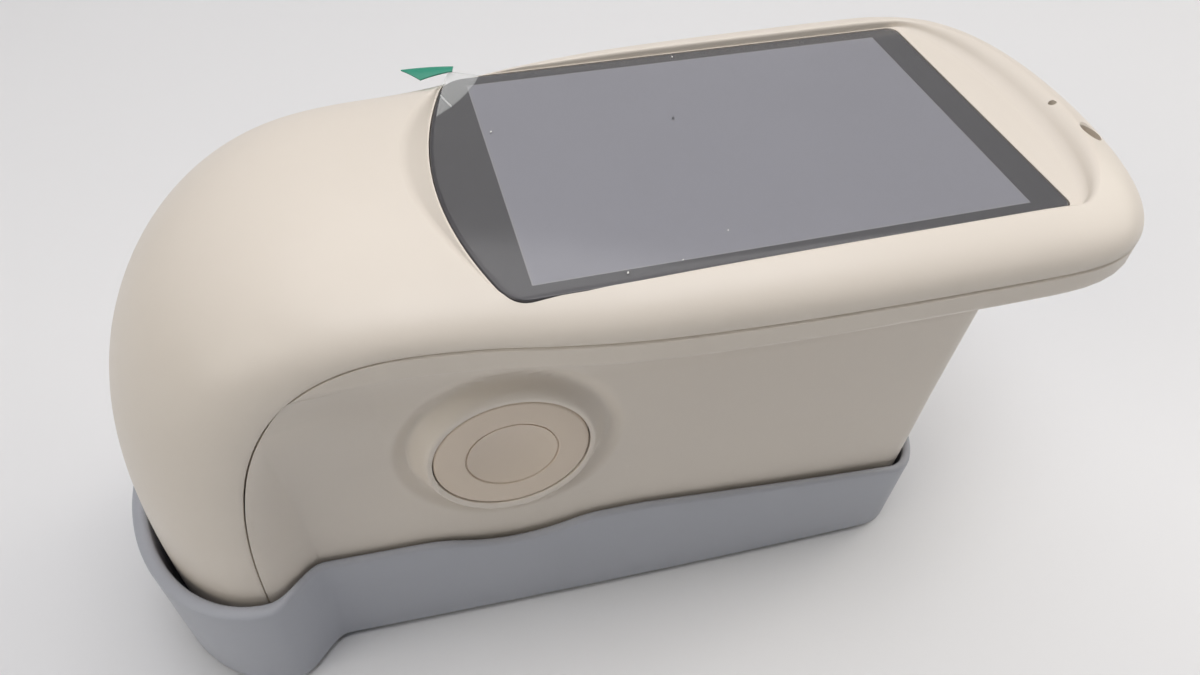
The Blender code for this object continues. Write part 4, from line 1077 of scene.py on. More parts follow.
    def build(self, material: bpy.types.Material) -> bpy.types.Object:
        """Loft the stack, part it from the hood, hollow it and open the holes of key, lanyard and socket.

        Args:
            material: Its material.

        Returns:
            The piece.
        """
        housing = lofted("housing", [*self.grip_rings(), *self.cove_rings(), *self.lip_rings()])
        facing = Matrix.Rotation(math.pi / 2, 4, "X")
        key_at = Vector((self.key_x, -FORM.grip_half, self.key_z))
        x, y, bore, wall = self.lanyard
        low, high = self.lip_foot_z + self.lanyard_floor, self.lanyard_top
        middle = Vector((x, y, (low + high) / 2))
        key_hole = cylinder("key_hole", self.key_radius + self.key_gap, FORM.grip_half, key_at, facing, 128)
        tools = [
            (self.parting(), "DIFFERENCE"),
            (lofted("grip_hollow", self.hollow()), "DIFFERENCE"),
            (key_hole, "DIFFERENCE"),
            (cylinder("post", bore + wall, high - low, middle), "UNION"),
            (cylinder("bore", bore, self.bore_length, middle), "DIFFERENCE"),
            (self.socket_opening(), "DIFFERENCE"),
        ]
        return show(carve(housing, tools), Body.CASE, material, "grip_housing")


@dataclass
class DockShell:
    """The tub that the instrument stands in, its round rim dipping under the key and falling to the rear."""

    clearance: float = 0.0003
    wall: float = 0.0016
    nose_extra: float = 0.0013
    nose_wall: float = 0.0008
    tip_reach: float = 0.003
    rim_z: float = -0.057
    fall_x: float = -0.018
    slope: float = 0.105
    key_ring: float = 0.0272
    key: tuple[float, float] = (-0.0413, -0.0325)
    floor_z: float = -0.082
    underside_z: float = -0.084
    taper: float = 0.0012
    edge: float = 0.0015
    blend: float = 0.0007

    def half_width(self, x: float) -> float:
        """Half the width of the outer face at x."""
        forward = 1 - eased((x - FORM.parting_foot_x) / FORM.nose_run)
        return FORM.grip_half_width(x, self.rim_z) + self.clearance + self.wall + self.nose_extra * forward

    def rim(self, x: float, near: bool) -> float:
        """Height of the rim, which dips softly round the key on the near side.

        Args:
            x: Place along the dock.
            near: Whether it is the near side's.

        Returns:
            The height.
        """
        level = self.rim_z - self.slope * max(x - self.fall_x, 0.0)
        across = abs(x - self.key[0])
        if near and across < self.key_ring:
            dip = self.key[1] - math.sqrt(self.key_ring**2 - across**2)
            level -= self.blend * math.log1p(math.exp((level - dip) / self.blend))
        return level

    def ring(
        self, depth: float, narrowing: float, height: Callable[[float, bool], float], shrink: float = 0.0
    ) -> Ring:
        """One ring round the dock.

        Args:
            depth: 0 on the outer face, 1 on the inner one.
            narrowing: How much narrower each side is.
            height: Height at x, on the near or the far side.
            shrink: How much shorter each end is.

        Returns:
            The ring's points.
        """
        middle = FORM.parting_foot_x
        inward = (self.wall + self.nose_wall) * depth
        long_axis = middle - FORM.crest_foot_x + self.tip_reach - inward - shrink
        wide_axis = self.half_width(middle) - inward - narrowing
        end = FORM.grip_rear_x + self.clearance + self.wall * (1 - depth) - shrink
        corner = FORM.grip_corner + self.wall * (1 - depth)
        turns = angles(QUARTER_TURN, 28)[:-1]
        side = [(middle - long_axis * math.cos(turn), wide_axis * math.sin(turn)) for turn in turns]
        for x in [*spread(middle, FORM.tail_x(), 120), *FORM.tail(end, 18)]:
            forward = 1 - eased((x - middle) / FORM.nose_run)
            wall = (self.wall + self.nose_wall * forward) * depth
            side.append((x, closed_end(x, self.half_width(x) - wall - narrowing, end, corner)))
        near = [Vector((x, -y, height(x, True))) for x, y in side]
        return near + [Vector((x, y, height(x, False))) for x, y in reversed(side[1:-1])]

    def build(self, material: bpy.types.Material) -> bpy.types.Object:
        """Loft the tub from its rounded lower edge over its round rim down to its floor.

        Args:
            material: Its material.

        Returns:
            The piece.
        """
        rings = []
        for turn in angles(QUARTER_TURN, 6):
            inset = self.edge * (1 - math.sin(turn))
            level = self.underside_z + self.edge * (1 - math.cos(turn))
            rings.append(self.ring(0.0, self.taper + inset, lambda x, near, z=level: z, inset))
        round_rim = self.wall / 2
        low = self.underside_z + self.edge
        for share in spread(0, 1, 8)[1:]:
            def outer(x: float, near: bool, share: float = share) -> float:
                """Height on the outer face."""
                return low + (self.rim(x, near) - round_rim - low) * share
            rings.append(self.ring(0.0, self.taper * (1 - share), outer))
        for turn in angles(180, 12)[1:]:
            rise = round_rim * (math.sin(turn) - 1)
            depth = (1 - math.cos(turn)) / 2
            rings.append(self.ring(depth, 0.0, lambda x, near, r=rise: self.rim(x, near) + r))
        for share in spread(0, 1, 4)[1:]:
            def inner(x: float, near: bool, share: float = share) -> float:
                """Height on the inner face."""
                foot = self.rim(x, near) - round_rim
                return foot + (self.floor_z - foot) * share
            lean = -through(FORM.swell, self.rim_z + (self.floor_z - self.rim_z) * share)
            rings.append(self.ring(1.0, lean * share, inner))
        return show(lofted("dock", rings), Body.CASE, material, "dock_shell")


@dataclass
class MeasureKey:
    """The round measuring key: a shallow dish inside a ring, turned round the axis that it travels on."""

    at: tuple[float, float, float] = (-0.0413, -0.0267, -0.0325)
    radius: float = 0.0121
    disc: float = 0.0071
    sink: float = 0.0001
    dish: float = 0.0010
    groove: float = 0.00015
    line: float = 0.00030
    line_places: tuple[float, float, float, float] = (-0.00012, -0.00006, 0.00008, 0.00014)
    ring_start: float = 0.00016
    edge: float = 0.0005
    depth: float = 0.0065
    flange: float = 0.001
    wall: float = 0.0016
    web: float = 0.0022

    def profile(self) -> Outline:
        """The outline that is turned, from the middle of the face round the outside to that of the back.

        Returns:
            Pairs of radius and height.
        """
        points = [(self.disc * s, -self.sink - self.dish * (1 - s**2)) for s in spread(0, 1, 10)[:-1]]
        drops = (0.0, self.line, self.line, self.groove / 2)
        points += [(self.disc + place, -self.sink - drop) for place, drop in zip(self.line_places, drops)]
        for turn in angles(QUARTER_TURN, 6):
            out = self.ring_start + self.groove * (1 - math.cos(turn))
            points.append((self.disc + out, -self.groove * (1 - math.sin(turn))))
        for turn in angles(QUARTER_TURN, 10):
            points.append((self.radius - self.edge * (1 - math.sin(turn)), -self.edge * (1 - math.cos(turn))))
        shoulder = -self.depth + self.flange
        skirt = self.radius + GAP + self.flange
        inner = self.radius - self.wall
        return [
            *points, (self.radius, shoulder), (skirt, shoulder), (skirt, -self.depth), (inner, -self.depth),
            (inner, -self.web), (0.0, -self.web),
        ]

    def build(self, material: bpy.types.Material, sides: int = 144) -> bpy.types.Object:
        """Turn the profile, its face outward along -Y.

        Args:
            material: Its material.
            sides: Facets round it.

        Returns:
            The piece.
        """
        work = bmesh.new()
        middle = Vector(self.at) + DATUM
        turns = [2 * math.pi * i / sides for i in range(sides)]
        rings = []
        for radius, height in self.profile():
            centre = middle + Vector((0.0, -height, 0.0))
            arms = [Vector((radius * math.cos(turn), 0, radius * math.sin(turn))) for turn in turns]
            rings.append([work.verts.new(centre + arm) for arm in (arms if radius else [Vector()])])
        for first, second in zip(rings, rings[1:]):
            for i in range(sides):
                k = (i + 1) % sides
                places = ((first, i), (first, k), (second, k), (second, i))
                corners = [ring[place % len(ring)] for ring, place in places]
                work.faces.new(list(dict.fromkeys(corners)))
        return show(body_from("key", work), Body.KEY, material, "measure_button")


@dataclass
class Film:
    """The clear protective film, lifting at its far front corner, and the green tab that pulls it off."""

    inset: float = 0.0006
    corner: float = 0.0014
    thickness: float = 0.0002
    float_height: float = 0.00005
    lift: float = 0.0020
    lift_from: float = 0.0590
    lift_run: float = 0.0078
    tab_corners: Stations = ((-0.0470, 0.0288), (-0.0443, 0.0251), (-0.0390, 0.0256), (-0.0386, 0.0270))
    tab_gap: float = 0.0001
    tab_droop: float = 0.0006
    tab_bow: float = 0.0004

    def height(self, x: float, y: float) -> float:
        """Height of the film's underside over the glass, lifting past a slanting line."""
        past = max(y - x - self.lift_from, 0.0) / self.lift_run
        return self.float_height + self.lift * past**1.5

    def build(self, clear: bpy.types.Material, green: bpy.types.Material) -> list[bpy.types.Object]:
        """Lay the film over the glass row by row, and put the tab on its lifted corner.

        Args:
            clear: The film's material.
            green: The tab's material.

        Returns:
            Both pieces.
        """
        front_x, rear = GLASS.front_x + self.inset, GLASS_REAR_X - self.inset
        outline = GlassForm(half=GLASS.half - self.inset, front_x=front_x, front_corner=self.corner)
        shares = [1 - math.cos(turn) for turn in angles(QUARTER_TURN, 72)]
        grid = []
        for x, y in outline.front(0.0, steps=64):
            places = [x + (rear - x) * share for share in shares]
            grid.append([Vector((place, y, self.height(place, y))) for place in places])
        film = show(sheet("film", grid, self.thickness), Body.CASE, clear, "screen_film")
        return [film, self.pull_tab(green)]

    def pull_tab(self, green: bpy.types.Material) -> bpy.types.Object:
        """A short strip with a slanted outer end, bent down a little towards that end.

        Args:
            green: Its material.

        Returns:
            The piece.
        """
        outer_far, outer_near, inner_near, inner_far = (Vector((x, y, 0.0)) for x, y in self.tab_corners)
        corner_height = self.height(GLASS.front_x + GLASS.bow, GLASS.half - self.inset)
        base = corner_height + self.thickness + self.tab_gap
        grid = []
        for across in spread(0, 1, 12):
            outer, inner = outer_near.lerp(outer_far, across), inner_near.lerp(inner_far, across)
            row = []
            for along in spread(0, 1, 26):
                sag = self.tab_droop * (1 - along) ** 2 + self.tab_bow * (across - 0.5) ** 2
                row.append(outer.lerp(inner, along) + Vector((0.0, 0.0, base - sag)))
            grid.append(row)
        return show(sheet("tab", grid, self.thickness), Body.CASE, green, "film_tab")


@dataclass
class CoverGlass:
    """The cover glass: a pane with softened edges whose border is printed dark from behind."""

    soft: float = 0.00025

    def build(self, material: bpy.types.Material) -> bpy.types.Object:
        """Stack the pane's outlines with its lower and upper edges rounded.

        Args:
            material: Its material.

        Returns:
            The piece.
        """
        turns = angles(QUARTER_TURN, 4)
        rings = []
        for level, way, edge in ((-GLASS.thickness, 1.0, turns), (0.0, -1.0, turns[::-1])):
            for turn in edge:
                inset, rise = self.soft * (1 - math.sin(turn)), self.soft * (1 - math.cos(turn))
                rings.append([Vector((x, y, level + way * rise)) for x, y in GLASS.outline(-inset)])
        return show(lofted("glass", rings), Body.CASE, material, "display_glass")


def enabled(sockets: Iterable[Socket], name: str | None = None) -> Socket:
    """The first socket that its node shows, of a name where one is given."""
    return next(socket for socket in sockets if socket.enabled and name in (None, socket.name))


class Graph:
    """A short way to write a node tree."""

    def __init__(self, tree: bpy.types.NodeTree) -> None:
        """Keep the tree that nodes are added to."""
        self.tree = tree

    def add(self, kind: str, links: dict[str, object] | None = None, **settings: object) -> bpy.types.Node:
        """Add a node, set its properties, and set or link its inputs.

        Args:
            kind: The node's type.
            links: Input names with the value or the socket that each takes.
            settings: Properties of the node.

        Returns:
            The node.
        """
        node = self.tree.nodes.new(kind)
        for name, value in settings.items():
            setattr(node, name, value)
        for name, value in (links or {}).items():
            self.feed(node.inputs[name], value)
        return node

    def feed(self, socket: Socket, value: object) -> None:
        """Link a socket to another one or set it to a value.

        Args:
            socket: The input.
            value: The output that feeds it, or its value.
        """
        if isinstance(value, bpy.types.NodeSocket):
            self.tree.links.new(value, socket)
        else:
            socket.default_value = value

    def fill(self, node: bpy.types.Node, **values: object) -> None:
        """Feed inputs of a shader or a group's end, named with underscores for spaces.

        Args:
            node: The node.
            values: What each input takes.
        """
        for name, value in values.items():
            self.feed(node.inputs[name.replace("_", " ")], value)

    def maths(self, operation: str, first: object, second: object = 0.0, clamp: bool = False) -> Socket:
        """The result of a Math node."""
        node = self.add("ShaderNodeMath", {0: first, 1: second}, operation=operation, use_clamp=clamp)
        return node.outputs[0]

    def scaled(self, value: object, factor: object, start: object = 0.0, clamp: bool = False) -> Socket:
        """A value times a factor, added to a start."""
        return self.maths("ADD", start, self.maths("MULTIPLY", value, factor), clamp)

    def place(self) -> Socket:
        """The object's own coordinates."""
        return self.add("ShaderNodeTexCoord").outputs["Object"]

    def axes(self, vector: Socket) -> bpy.types.NodeOutputs:
        """The three parts of a vector by name."""
        return self.add("ShaderNodeSeparateXYZ", {"Vector": vector}).outputs

    def noise(self, place: Socket, scale: object, detail: float, roughness: float = 0.5) -> Socket:
        """A noise texture's value."""
        links = {"Vector": place, "Scale": scale, "Detail": detail, "Roughness": roughness}
        return self.add("ShaderNodeTexNoise", links).outputs["Fac"]

    def ramp(self, value: Socket, low: float, high: float, **settings: object) -> Socket:
        """A value read from 0 at a low end to 1 at a high one."""
        links = {"Value": value, "From Min": low, "From Max": high}
        return self.add("ShaderNodeMapRange", links, **settings).outputs["Result"]

    def shaded(self, colour: object, value: Socket) -> Socket:
        """A colour made brighter or darker by a value."""
        return self.add("ShaderNodeHueSaturation", {"Color": colour, "Value": value}).outputs["Color"]

    def mix(self, share: Socket, first: object, second: object) -> Socket:
        """A colour between two by a share.

        Args:
            share: The share of the second one.
            first: A colour.
            second: Another one.

        Returns:
            The mix.
        """
        node = self.add("ShaderNodeMix", data_type="RGBA")
        for label, value in (("Factor", share), ("A", first), ("B", second)):
            self.feed(enabled(node.inputs, label), value)
        return enabled(node.outputs)


def solid(colour: Colour) -> tuple[float, float, float, float]:
    """A colour with full cover, as sockets take it."""
    return (*colour, 1.0)


class SharedGroup:
    """A shader node group with named inputs and outputs, which materials share."""

    def __init__(self, name: str, inputs: dict[str, object], outputs: dict[str, str]) -> None:
        """Make the group's tree and its sockets.

        Args:
            name: The group's name.
            inputs: Input names with a default number or colour.
            outputs: Output names with their socket type.
        """
        self.tree = bpy.data.node_groups.new(name, "ShaderNodeTree")
        self.graph = Graph(self.tree)
        for label, default in inputs.items():
            kind = "NodeSocketColor" if isinstance(default, tuple) else "NodeSocketFloat"
            self.tree.interface.new_socket(label, in_out="INPUT", socket_type=kind).default_value = default
        for label, kind in outputs.items():
            self.tree.interface.new_socket(label, in_out="OUTPUT", socket_type=kind)
        self.given = self.tree.nodes.new("NodeGroupInput").outputs
        self.end = self.tree.nodes.new("NodeGroupOutput")


def surface_drift() -> bpy.types.NodeTree:
    """Slow differences over a moulded face: a colour that drifts a little and a mask of handling.

    Returns:
        The group.
    """
    inputs = {"Colour": (0.8, 0.75, 0.7, 1.0), "Drift": 0.03, "Scale": 30.0}
    group = SharedGroup("surface_drift", inputs, {"Colour": "NodeSocketColor", "Handled": "NodeSocketFloat"})
    graph, given = group.graph, group.given
    fine_scale, fine_share = 9.0, 0.3
    handled_from, handled_to = 0.42, 0.62
    place = graph.place()
    slow = graph.noise(place, given["Scale"], 3.0)
    fine = graph.noise(place, graph.maths("MULTIPLY", given["Scale"], fine_scale), 4.0)
    both = graph.scaled(fine, fine_share, graph.maths("MULTIPLY", slow, 1.0 - fine_share))
    shift = graph.maths("MULTIPLY", graph.maths("SUBTRACT", both, 0.5), given["Drift"])
    colour = graph.shaded(given["Colour"], graph.scaled(shift, 2.0, 1.0))
    graph.fill(group.end, Colour=colour, Handled=graph.ramp(both, handled_from, handled_to))
    return group.tree


def mould_grain() -> bpy.types.NodeTree:
    """The fine spark-eroded grain of a moulded face as a normal.

    Returns:
        The group.
    """
    inputs = {"Scale": 2600.0, "Strength": 0.12, "Distance": 0.00003}
    group = SharedGroup("mould_grain", inputs, {"Normal": "NodeSocketVector"})
    graph, given = group.graph, group.given
    pit_scale, pit_depth = 0.6, 0.5
    place = graph.place()
    cells = {"Vector": place, "Scale": graph.maths("MULTIPLY", given["Scale"], pit_scale)}
    pits = graph.add("ShaderNodeTexVoronoi", cells).outputs["Distance"]
    height = graph.scaled(pits, pit_depth, graph.noise(place, given["Scale"], 2.0))
    links = {"Height": height, "Strength": given["Strength"], "Distance": given["Distance"]}
    graph.fill(group.end, Normal=graph.add("ShaderNodeBump", links).outputs["Normal"])
    return group.tree


def dust_film() -> bpy.types.NodeTree:
    """A mask of fine dust lying on faces that look up.

    Returns:
        The group.
    """
    group = SharedGroup("dust_film", {"Amount": 0.1, "Scale": 180.0}, {"Mask": "NodeSocketFloat"})
    graph, given = group.graph, group.given
    level_faces, patchy = (0.3, 0.95), (0.45, 0.8)
    up = graph.axes(graph.add("ShaderNodeNewGeometry").outputs["Normal"])["Z"]
    patches = graph.ramp(graph.noise(graph.place(), given["Scale"], 6.0, 0.7), *patchy)
    lying = graph.maths("MULTIPLY", graph.ramp(up, *level_faces), patches)
    graph.fill(group.end, Mask=graph.maths("MULTIPLY", lying, given["Amount"]))
    return group.tree


def new_material(name: str) -> tuple[bpy.types.Material, Graph, bpy.types.Node]:
    """A material with its graph and its Principled shader.

    Args:
        name: The material's name.

    Returns:
        All three.
    """
    material = bpy.data.materials.new(name)
    material.use_nodes = True
    return material, Graph(material.node_tree), material.node_tree.nodes["Principled BSDF"]


@dataclass(frozen=True)
class Moulded:
    """A moulded plastic: its colour, sheen, handling, drift, grain and dust."""

    name: str
    colour: Colour
    roughness: float = 0.42
    handled: float = -0.05
    drift: float = 0.03
    grain: float = 0.12
    dust: float = 0.05
    dust_colour: Colour = (0.75, 0.73, 0.70)
    dust_roughness: float = 0.4
    specular: float = 0.45

    def make(self, groups: dict[str, bpy.types.NodeTree]) -> bpy.types.Material:
        """Build the material from the shared groups.

        Args:
            groups: The shader groups by name.

        Returns:
            The material.
        """
        material, graph, shader = new_material(self.name)
        drift = graph.add("ShaderNodeGroup", node_tree=groups["drift"])
        graph.fill(drift, Colour=solid(self.colour), Drift=self.drift)
        grain = graph.add("ShaderNodeGroup", node_tree=groups["grain"])
        graph.fill(grain, Strength=self.grain)
        dust = graph.add("ShaderNodeGroup", node_tree=groups["dust"])
        graph.fill(dust, Amount=self.dust)
        mask = dust.outputs["Mask"]
        worn = graph.scaled(drift.outputs["Handled"], self.handled, self.roughness)
        graph.fill(
            shader,
            Base_Color=graph.mix(mask, drift.outputs["Colour"], solid(self.dust_colour)),
            Roughness=graph.scaled(mask, self.dust_roughness, worn, True),
            Normal=grain.outputs["Normal"],
            Specular_IOR_Level=self.specular,
        )
        return material


@dataclass(frozen=True)
class Metal:
    """A bare metal with a soft drift of its roughness."""

    name: str
    colour: Colour
    roughness: float = 0.32
    drift: float = 0.1
    drift_scale: float = 400.0

    def make(self) -> bpy.types.Material:
        """Build the material.

        Returns:
            The material.
        """
        material, graph, shader = new_material(self.name)
        noise = graph.noise(graph.place(), self.drift_scale, 4.0)
        rough = graph.scaled(noise, self.drift, self.roughness - self.drift / 2)
        graph.fill(shader, Base_Color=solid(self.colour), Roughness=rough, Metallic=1.0)
        return material


@dataclass(frozen=True)
class ScreenGlass:
    """Cover glass with the display behind it: a printed border, the paler active area and a line round it."""

    border: Colour = (0.075, 0.073, 0.080)
    active: Colour = (0.268, 0.268, 0.305)
    line: Colour = (0.30, 0.30, 0.32)
    half_x: float = 0.0370
    half_y: float = 0.0247
    line_width: float = 0.00022
    blur: float = 0.00004
    mottle_scale: float = 22.0
    mottle: float = 0.12
    roughness: float = 0.13
    smear_scale: float = 60.0
    smear: float = 0.06
    specular: float = 0.5

    def make(self) -> bpy.types.Material:
        """Build the material; the border is where the larger of two distances from the middle passes 1.

        Returns:
            The material.
        """
        material, graph, shader = new_material("screen_glass")
        place = graph.place()
        sides = graph.axes(place)
        x = graph.maths("ABSOLUTE", graph.maths("SUBTRACT", sides["X"], DATUM.x))
        y = graph.maths("ABSOLUTE", sides["Y"])
        past_x, past_y = graph.maths("SUBTRACT", x, self.half_x), graph.maths("SUBTRACT", y, self.half_y)
        out = graph.maths("MAXIMUM", past_x, past_y)
        outside = graph.ramp(out, -self.blur, self.blur)
        ring = graph.ramp(out, -self.line_width - self.blur, -self.line_width + self.blur)
        mottle = graph.scaled(graph.noise(place, self.mottle_scale, 2.0), self.mottle, 1.0 - self.mottle / 2)
        active = graph.shaded(solid(self.active), mottle)
        lined = graph.mix(ring, active, solid(self.line))
        smear = graph.noise(place, self.smear_scale, 5.0)
        rough = graph.scaled(smear, self.smear, self.roughness - self.smear / 2)
        colour = graph.mix(outside, lined, solid(self.border))
        graph.fill(shader, Base_Color=colour, Roughness=rough, Specular_IOR_Level=self.specular)
        return material


@dataclass(frozen=True)
class ClearFilm:
    """The protective film: nearly unseen where it clings, hazy where it lifts, its one crease a painted
    highlight.
    """

    colour: Colour = (0.78, 0.80, 0.80)
    haze: float = 0.20
    clinging: float = 0.035
    contact: tuple[float, float, float] = (-0.761, 0.648, 0.0440)
    middle: float = -0.0088
    half_length: float = 0.0084
    bow: float = 0.0012
    blur: float = 0.0001
    # The crease is a painted highlight line: its place in plan, half width, sharp core and strength.
    crease_highlight: tuple[float, float, float] = (0.877, 0.479, -0.0264)
    crease_highlight_half: float = 0.00016
    crease_highlight_core: float = 0.3
    crease_highlight_share: float = 0.45
    roughness: float = 0.12
    smear_scale: float = 140.0
    smear: float = 0.14
    specular: float = 0.7

    def make(self) -> bpy.types.Material:
        """Build the material; both lines lie in plan, from the middle of the display.

        Returns:
            The material.
        """
        material, graph, shader = new_material("clear_film")
        place = graph.place()
        sides = graph.axes(place)
        x, y = graph.maths("SUBTRACT", sides["X"], DATUM.x), sides["Y"]

        def across(line: tuple[float, float, float]) -> Socket:
            """Distance past a line."""
            both = graph.scaled(y, line[1], graph.maths("MULTIPLY", x, line[0]))
            return graph.maths("SUBTRACT", both, line[2])

        along = graph.scaled(y, -self.contact[0], graph.maths("MULTIPLY", x, self.contact[1]))
        share = graph.maths("DIVIDE", graph.maths("SUBTRACT", along, self.middle), self.half_length)
        bowed = graph.maths("SUBTRACT", 1.0, graph.maths("MULTIPLY", share, share))
        lifted = graph.ramp(graph.scaled(bowed, self.bow, across(self.contact)), -self.blur, self.blur)
        # Painted highlight of the crease: along its line, where the film lifts, the film is made more opaque
        # and whiter.
        off = graph.maths("ABSOLUTE", across(self.crease_highlight))
        crease_highlight_mask = graph.ramp(off, self.crease_highlight_half, self.crease_highlight_half * self.crease_highlight_core)
        haze = graph.scaled(lifted, self.haze, self.clinging)
        alpha = graph.scaled(graph.maths("MULTIPLY", crease_highlight_mask, lifted), self.crease_highlight_share, haze, True)
        rough = graph.scaled(graph.noise(place, self.smear_scale, 5.0), self.smear, self.roughness)
        graph.fill(shader, Base_Color=solid(self.colour), Roughness=rough)
        graph.fill(shader, Alpha=alpha, Specular_IOR_Level=self.specular)
        return material


class Finishes:
    """Every finish of the instrument and its dock, built once."""

    def __init__(self) -> None:
        """Build the shared groups and then each material."""
        groups = {"drift": surface_drift(), "grain": mould_grain(), "dust": dust_film()}
        self.dust = Moulded("dust", (0.82, 0.82, 0.80), 0.9, 0.0, 0.05, 0.0, 0.0).make(groups)
        self.lint = Moulded("lint", (0.10, 0.10, 0.11), 0.9, 0.0, 0.05, 0.0, 0.0).make(groups)
        plastics = {
            Slot.SHELL: Moulded("cream_shell", (0.80, 0.735, 0.655), 0.40, -0.06, 0.025, 0.10, 0.03),
            Slot.KEY: Moulded("tan_key", (0.80, 0.69, 0.575), 0.44, -0.08, 0.03, 0.10, 0.02),
            Slot.DOCK: Moulded("grey_dock", (0.455, 0.475, 0.53), 0.46, -0.05, 0.03, 0.16, 0.05),
            Slot.BLACK: Moulded("black_plastic", (0.03, 0.03, 0.035), 0.42, -0.05, 0.04, 0.15, 0.05),
            Slot.RUBBER: Moulded("rubber", (0.03, 0.03, 0.03), 0.8, -0.04, 0.05, 0.25, 0.10),
            Slot.TAB: Moulded("green_tab", (0.035, 0.30, 0.20), 0.30, 0.0, 0.05, 0.0, 0.0),
            Slot.BOARD: Moulded("circuit_board", (0.03, 0.22, 0.10), 0.45, 0.0, 0.15, 0.05, 0.0),
            Slot.DISPLAY: Moulded("display_panel", (0.28, 0.28, 0.30), 0.30, 0.0, 0.02, 0.0, 0.0),
        }
        self.by_slot = {slot: finish.make(groups) for slot, finish in plastics.items()}
        self.by_slot[Slot.METAL] = Metal("aluminium", (0.72, 0.72, 0.74), 0.36).make()
        self.by_slot[Slot.STEEL] = Metal("bright_steel", (0.62, 0.62, 0.64), 0.24).make()
        self.by_slot[Slot.GLASS] = ScreenGlass().make()
        self.by_slot[Slot.FILM] = ClearFilm().make()

    def __getitem__(self, slot: Slot) -> bpy.types.Material:
        """The material that a slot of the record takes."""
        return self.by_slot[slot]

    def dress(self) -> int:
        """Give every plain solid of the frame its material by the record's slots.

        Returns:
            How many nodes were dressed.
        """
        subparts = frame["record"]["subparts"]
        for part in subparts:
            node = frame["nodes"][part["node"]]
            unseen = part["node"] == "aperture_window"
            while len(node.material_slots) < 1:
                node.data.materials.append(None)
            for place in node.material_slots:
                place.link = "OBJECT"
                place.material = self[Slot.BLACK if unseen else Slot(part["material_slot"])]
        return len(subparts)


@dataclass
class Specks:
    """Dust on the display: flattened grains put on points by Geometry Nodes, turned and sized by chance."""

    points: Stations
    size: float = 0.00022
    seed: int = 4
    name: str = "specks"
    slot: Slot = Slot.FILM
    flatness: tuple[float, float, float] = (1.0, 0.5, 0.3)
    sizes: tuple[float, float] = (0.55, 1.3)

    def carrier(self) -> bpy.types.Object:
        """A mesh of loose points just over the film.

        Returns:
            The object that carries them.
        """
        film = Film()
        mesh = bpy.data.meshes.new(self.name)
        lifted = [DATUM + Vector((x, y, film.height(x, y) + film.thickness)) for x, y in self.points]
        mesh.from_pydata(lifted, [], [])
        return placed(self.name, mesh)

    def tree(self) -> bpy.types.NodeTree:
        """The node group: a grain on each point, turned, sized, realised and given its material.

        Returns:
            The node group.
        """
        tree = bpy.data.node_groups.new(self.name, "GeometryNodeTree")
        inputs = {"Geometry": "Geometry", "Size": "Float", "Seed": "Int", "Material": "Material"}
        for label, kind in inputs.items():
            tree.interface.new_socket(label, in_out="INPUT", socket_type=f"NodeSocket{kind}")
        tree.interface.new_socket("Geometry", in_out="OUTPUT", socket_type="NodeSocketGeometry")
        graph = Graph(tree)
        given, end = tree.nodes.new("NodeGroupInput").outputs, tree.nodes.new("NodeGroupOutput")
        grain = graph.add("GeometryNodeMeshIcoSphere", {"Radius": given["Size"], "Subdivisions": 3})
        flat = graph.add("GeometryNodeTransform", {"Geometry": grain.outputs["Mesh"], "Scale": self.flatness})
        turn = graph.add("FunctionNodeRandomValue", {"Seed": given["Seed"]}, data_type="FLOAT_VECTOR")
        turn.inputs["Max"].default_value = (0.0, 0.0, 2 * math.pi)
        scale = graph.add("FunctionNodeRandomValue", {"Seed": given["Seed"]}, data_type="FLOAT")
        for label, value in zip(("Min", "Max"), self.sizes):
            enabled(scale.inputs, label).default_value = value
        links = {
            "Points": given["Geometry"], "Instance": flat.outputs["Geometry"],
            "Rotation": enabled(turn.outputs), "Scale": enabled(scale.outputs),
        }
        spots = graph.add("GeometryNodeInstanceOnPoints", links)
        real = graph.add("GeometryNodeRealizeInstances", {"Geometry": spots.outputs["Instances"]})
        links = {"Geometry": real.outputs["Geometry"], "Material": given["Material"]}
        graph.fill(end, Geometry=graph.add("GeometryNodeSetMaterial", links).outputs["Geometry"])
        return tree

    def build(self, material: bpy.types.Material) -> bpy.types.Object:
        """Evaluate the nodes once and keep the result as a plain mesh.

        Args:
            material: The grains' material.

        Returns:
            The piece.
        """
        item = self.carrier()
        step = item.modifiers.new(self.name, "NODES")
        step.node_group = self.tree()
        values = {"Size": self.size, "Seed": self.seed, "Material": material}
        for socket in step.node_group.interface.items_tree:
            if socket.in_out == "INPUT" and socket.name in values:
                step[socket.identifier] = values[socket.name]
        return show(baked(item), Body.CASE, material, slot=self.slot)


@dataclass(frozen=True)
class SoftLight:
    """A rectangular soft light that points at the object."""

    name: str
    at: tuple[float, float, float]
    size: tuple[float, float]
    power: float
    colour: Colour

    def hang(self, aim: Vector) -> None:
        """Put the light in the scene.

        Args:
            aim: What it points at.
        """
        data = bpy.data.lights.new(self.name, "AREA")
        data.shape = "RECTANGLE"
        data.size, data.size_y = self.size
        data.energy = self.power
        data.color = self.colour
        item = bpy.data.objects.new(self.name, data)
        item.location = self.at
        item.rotation_mode = "QUATERNION"
        item.rotation_quaternion = (aim - Vector(self.at)).to_track_quat("-Z", "Y")
        bpy.context.scene.collection.objects.link(item)


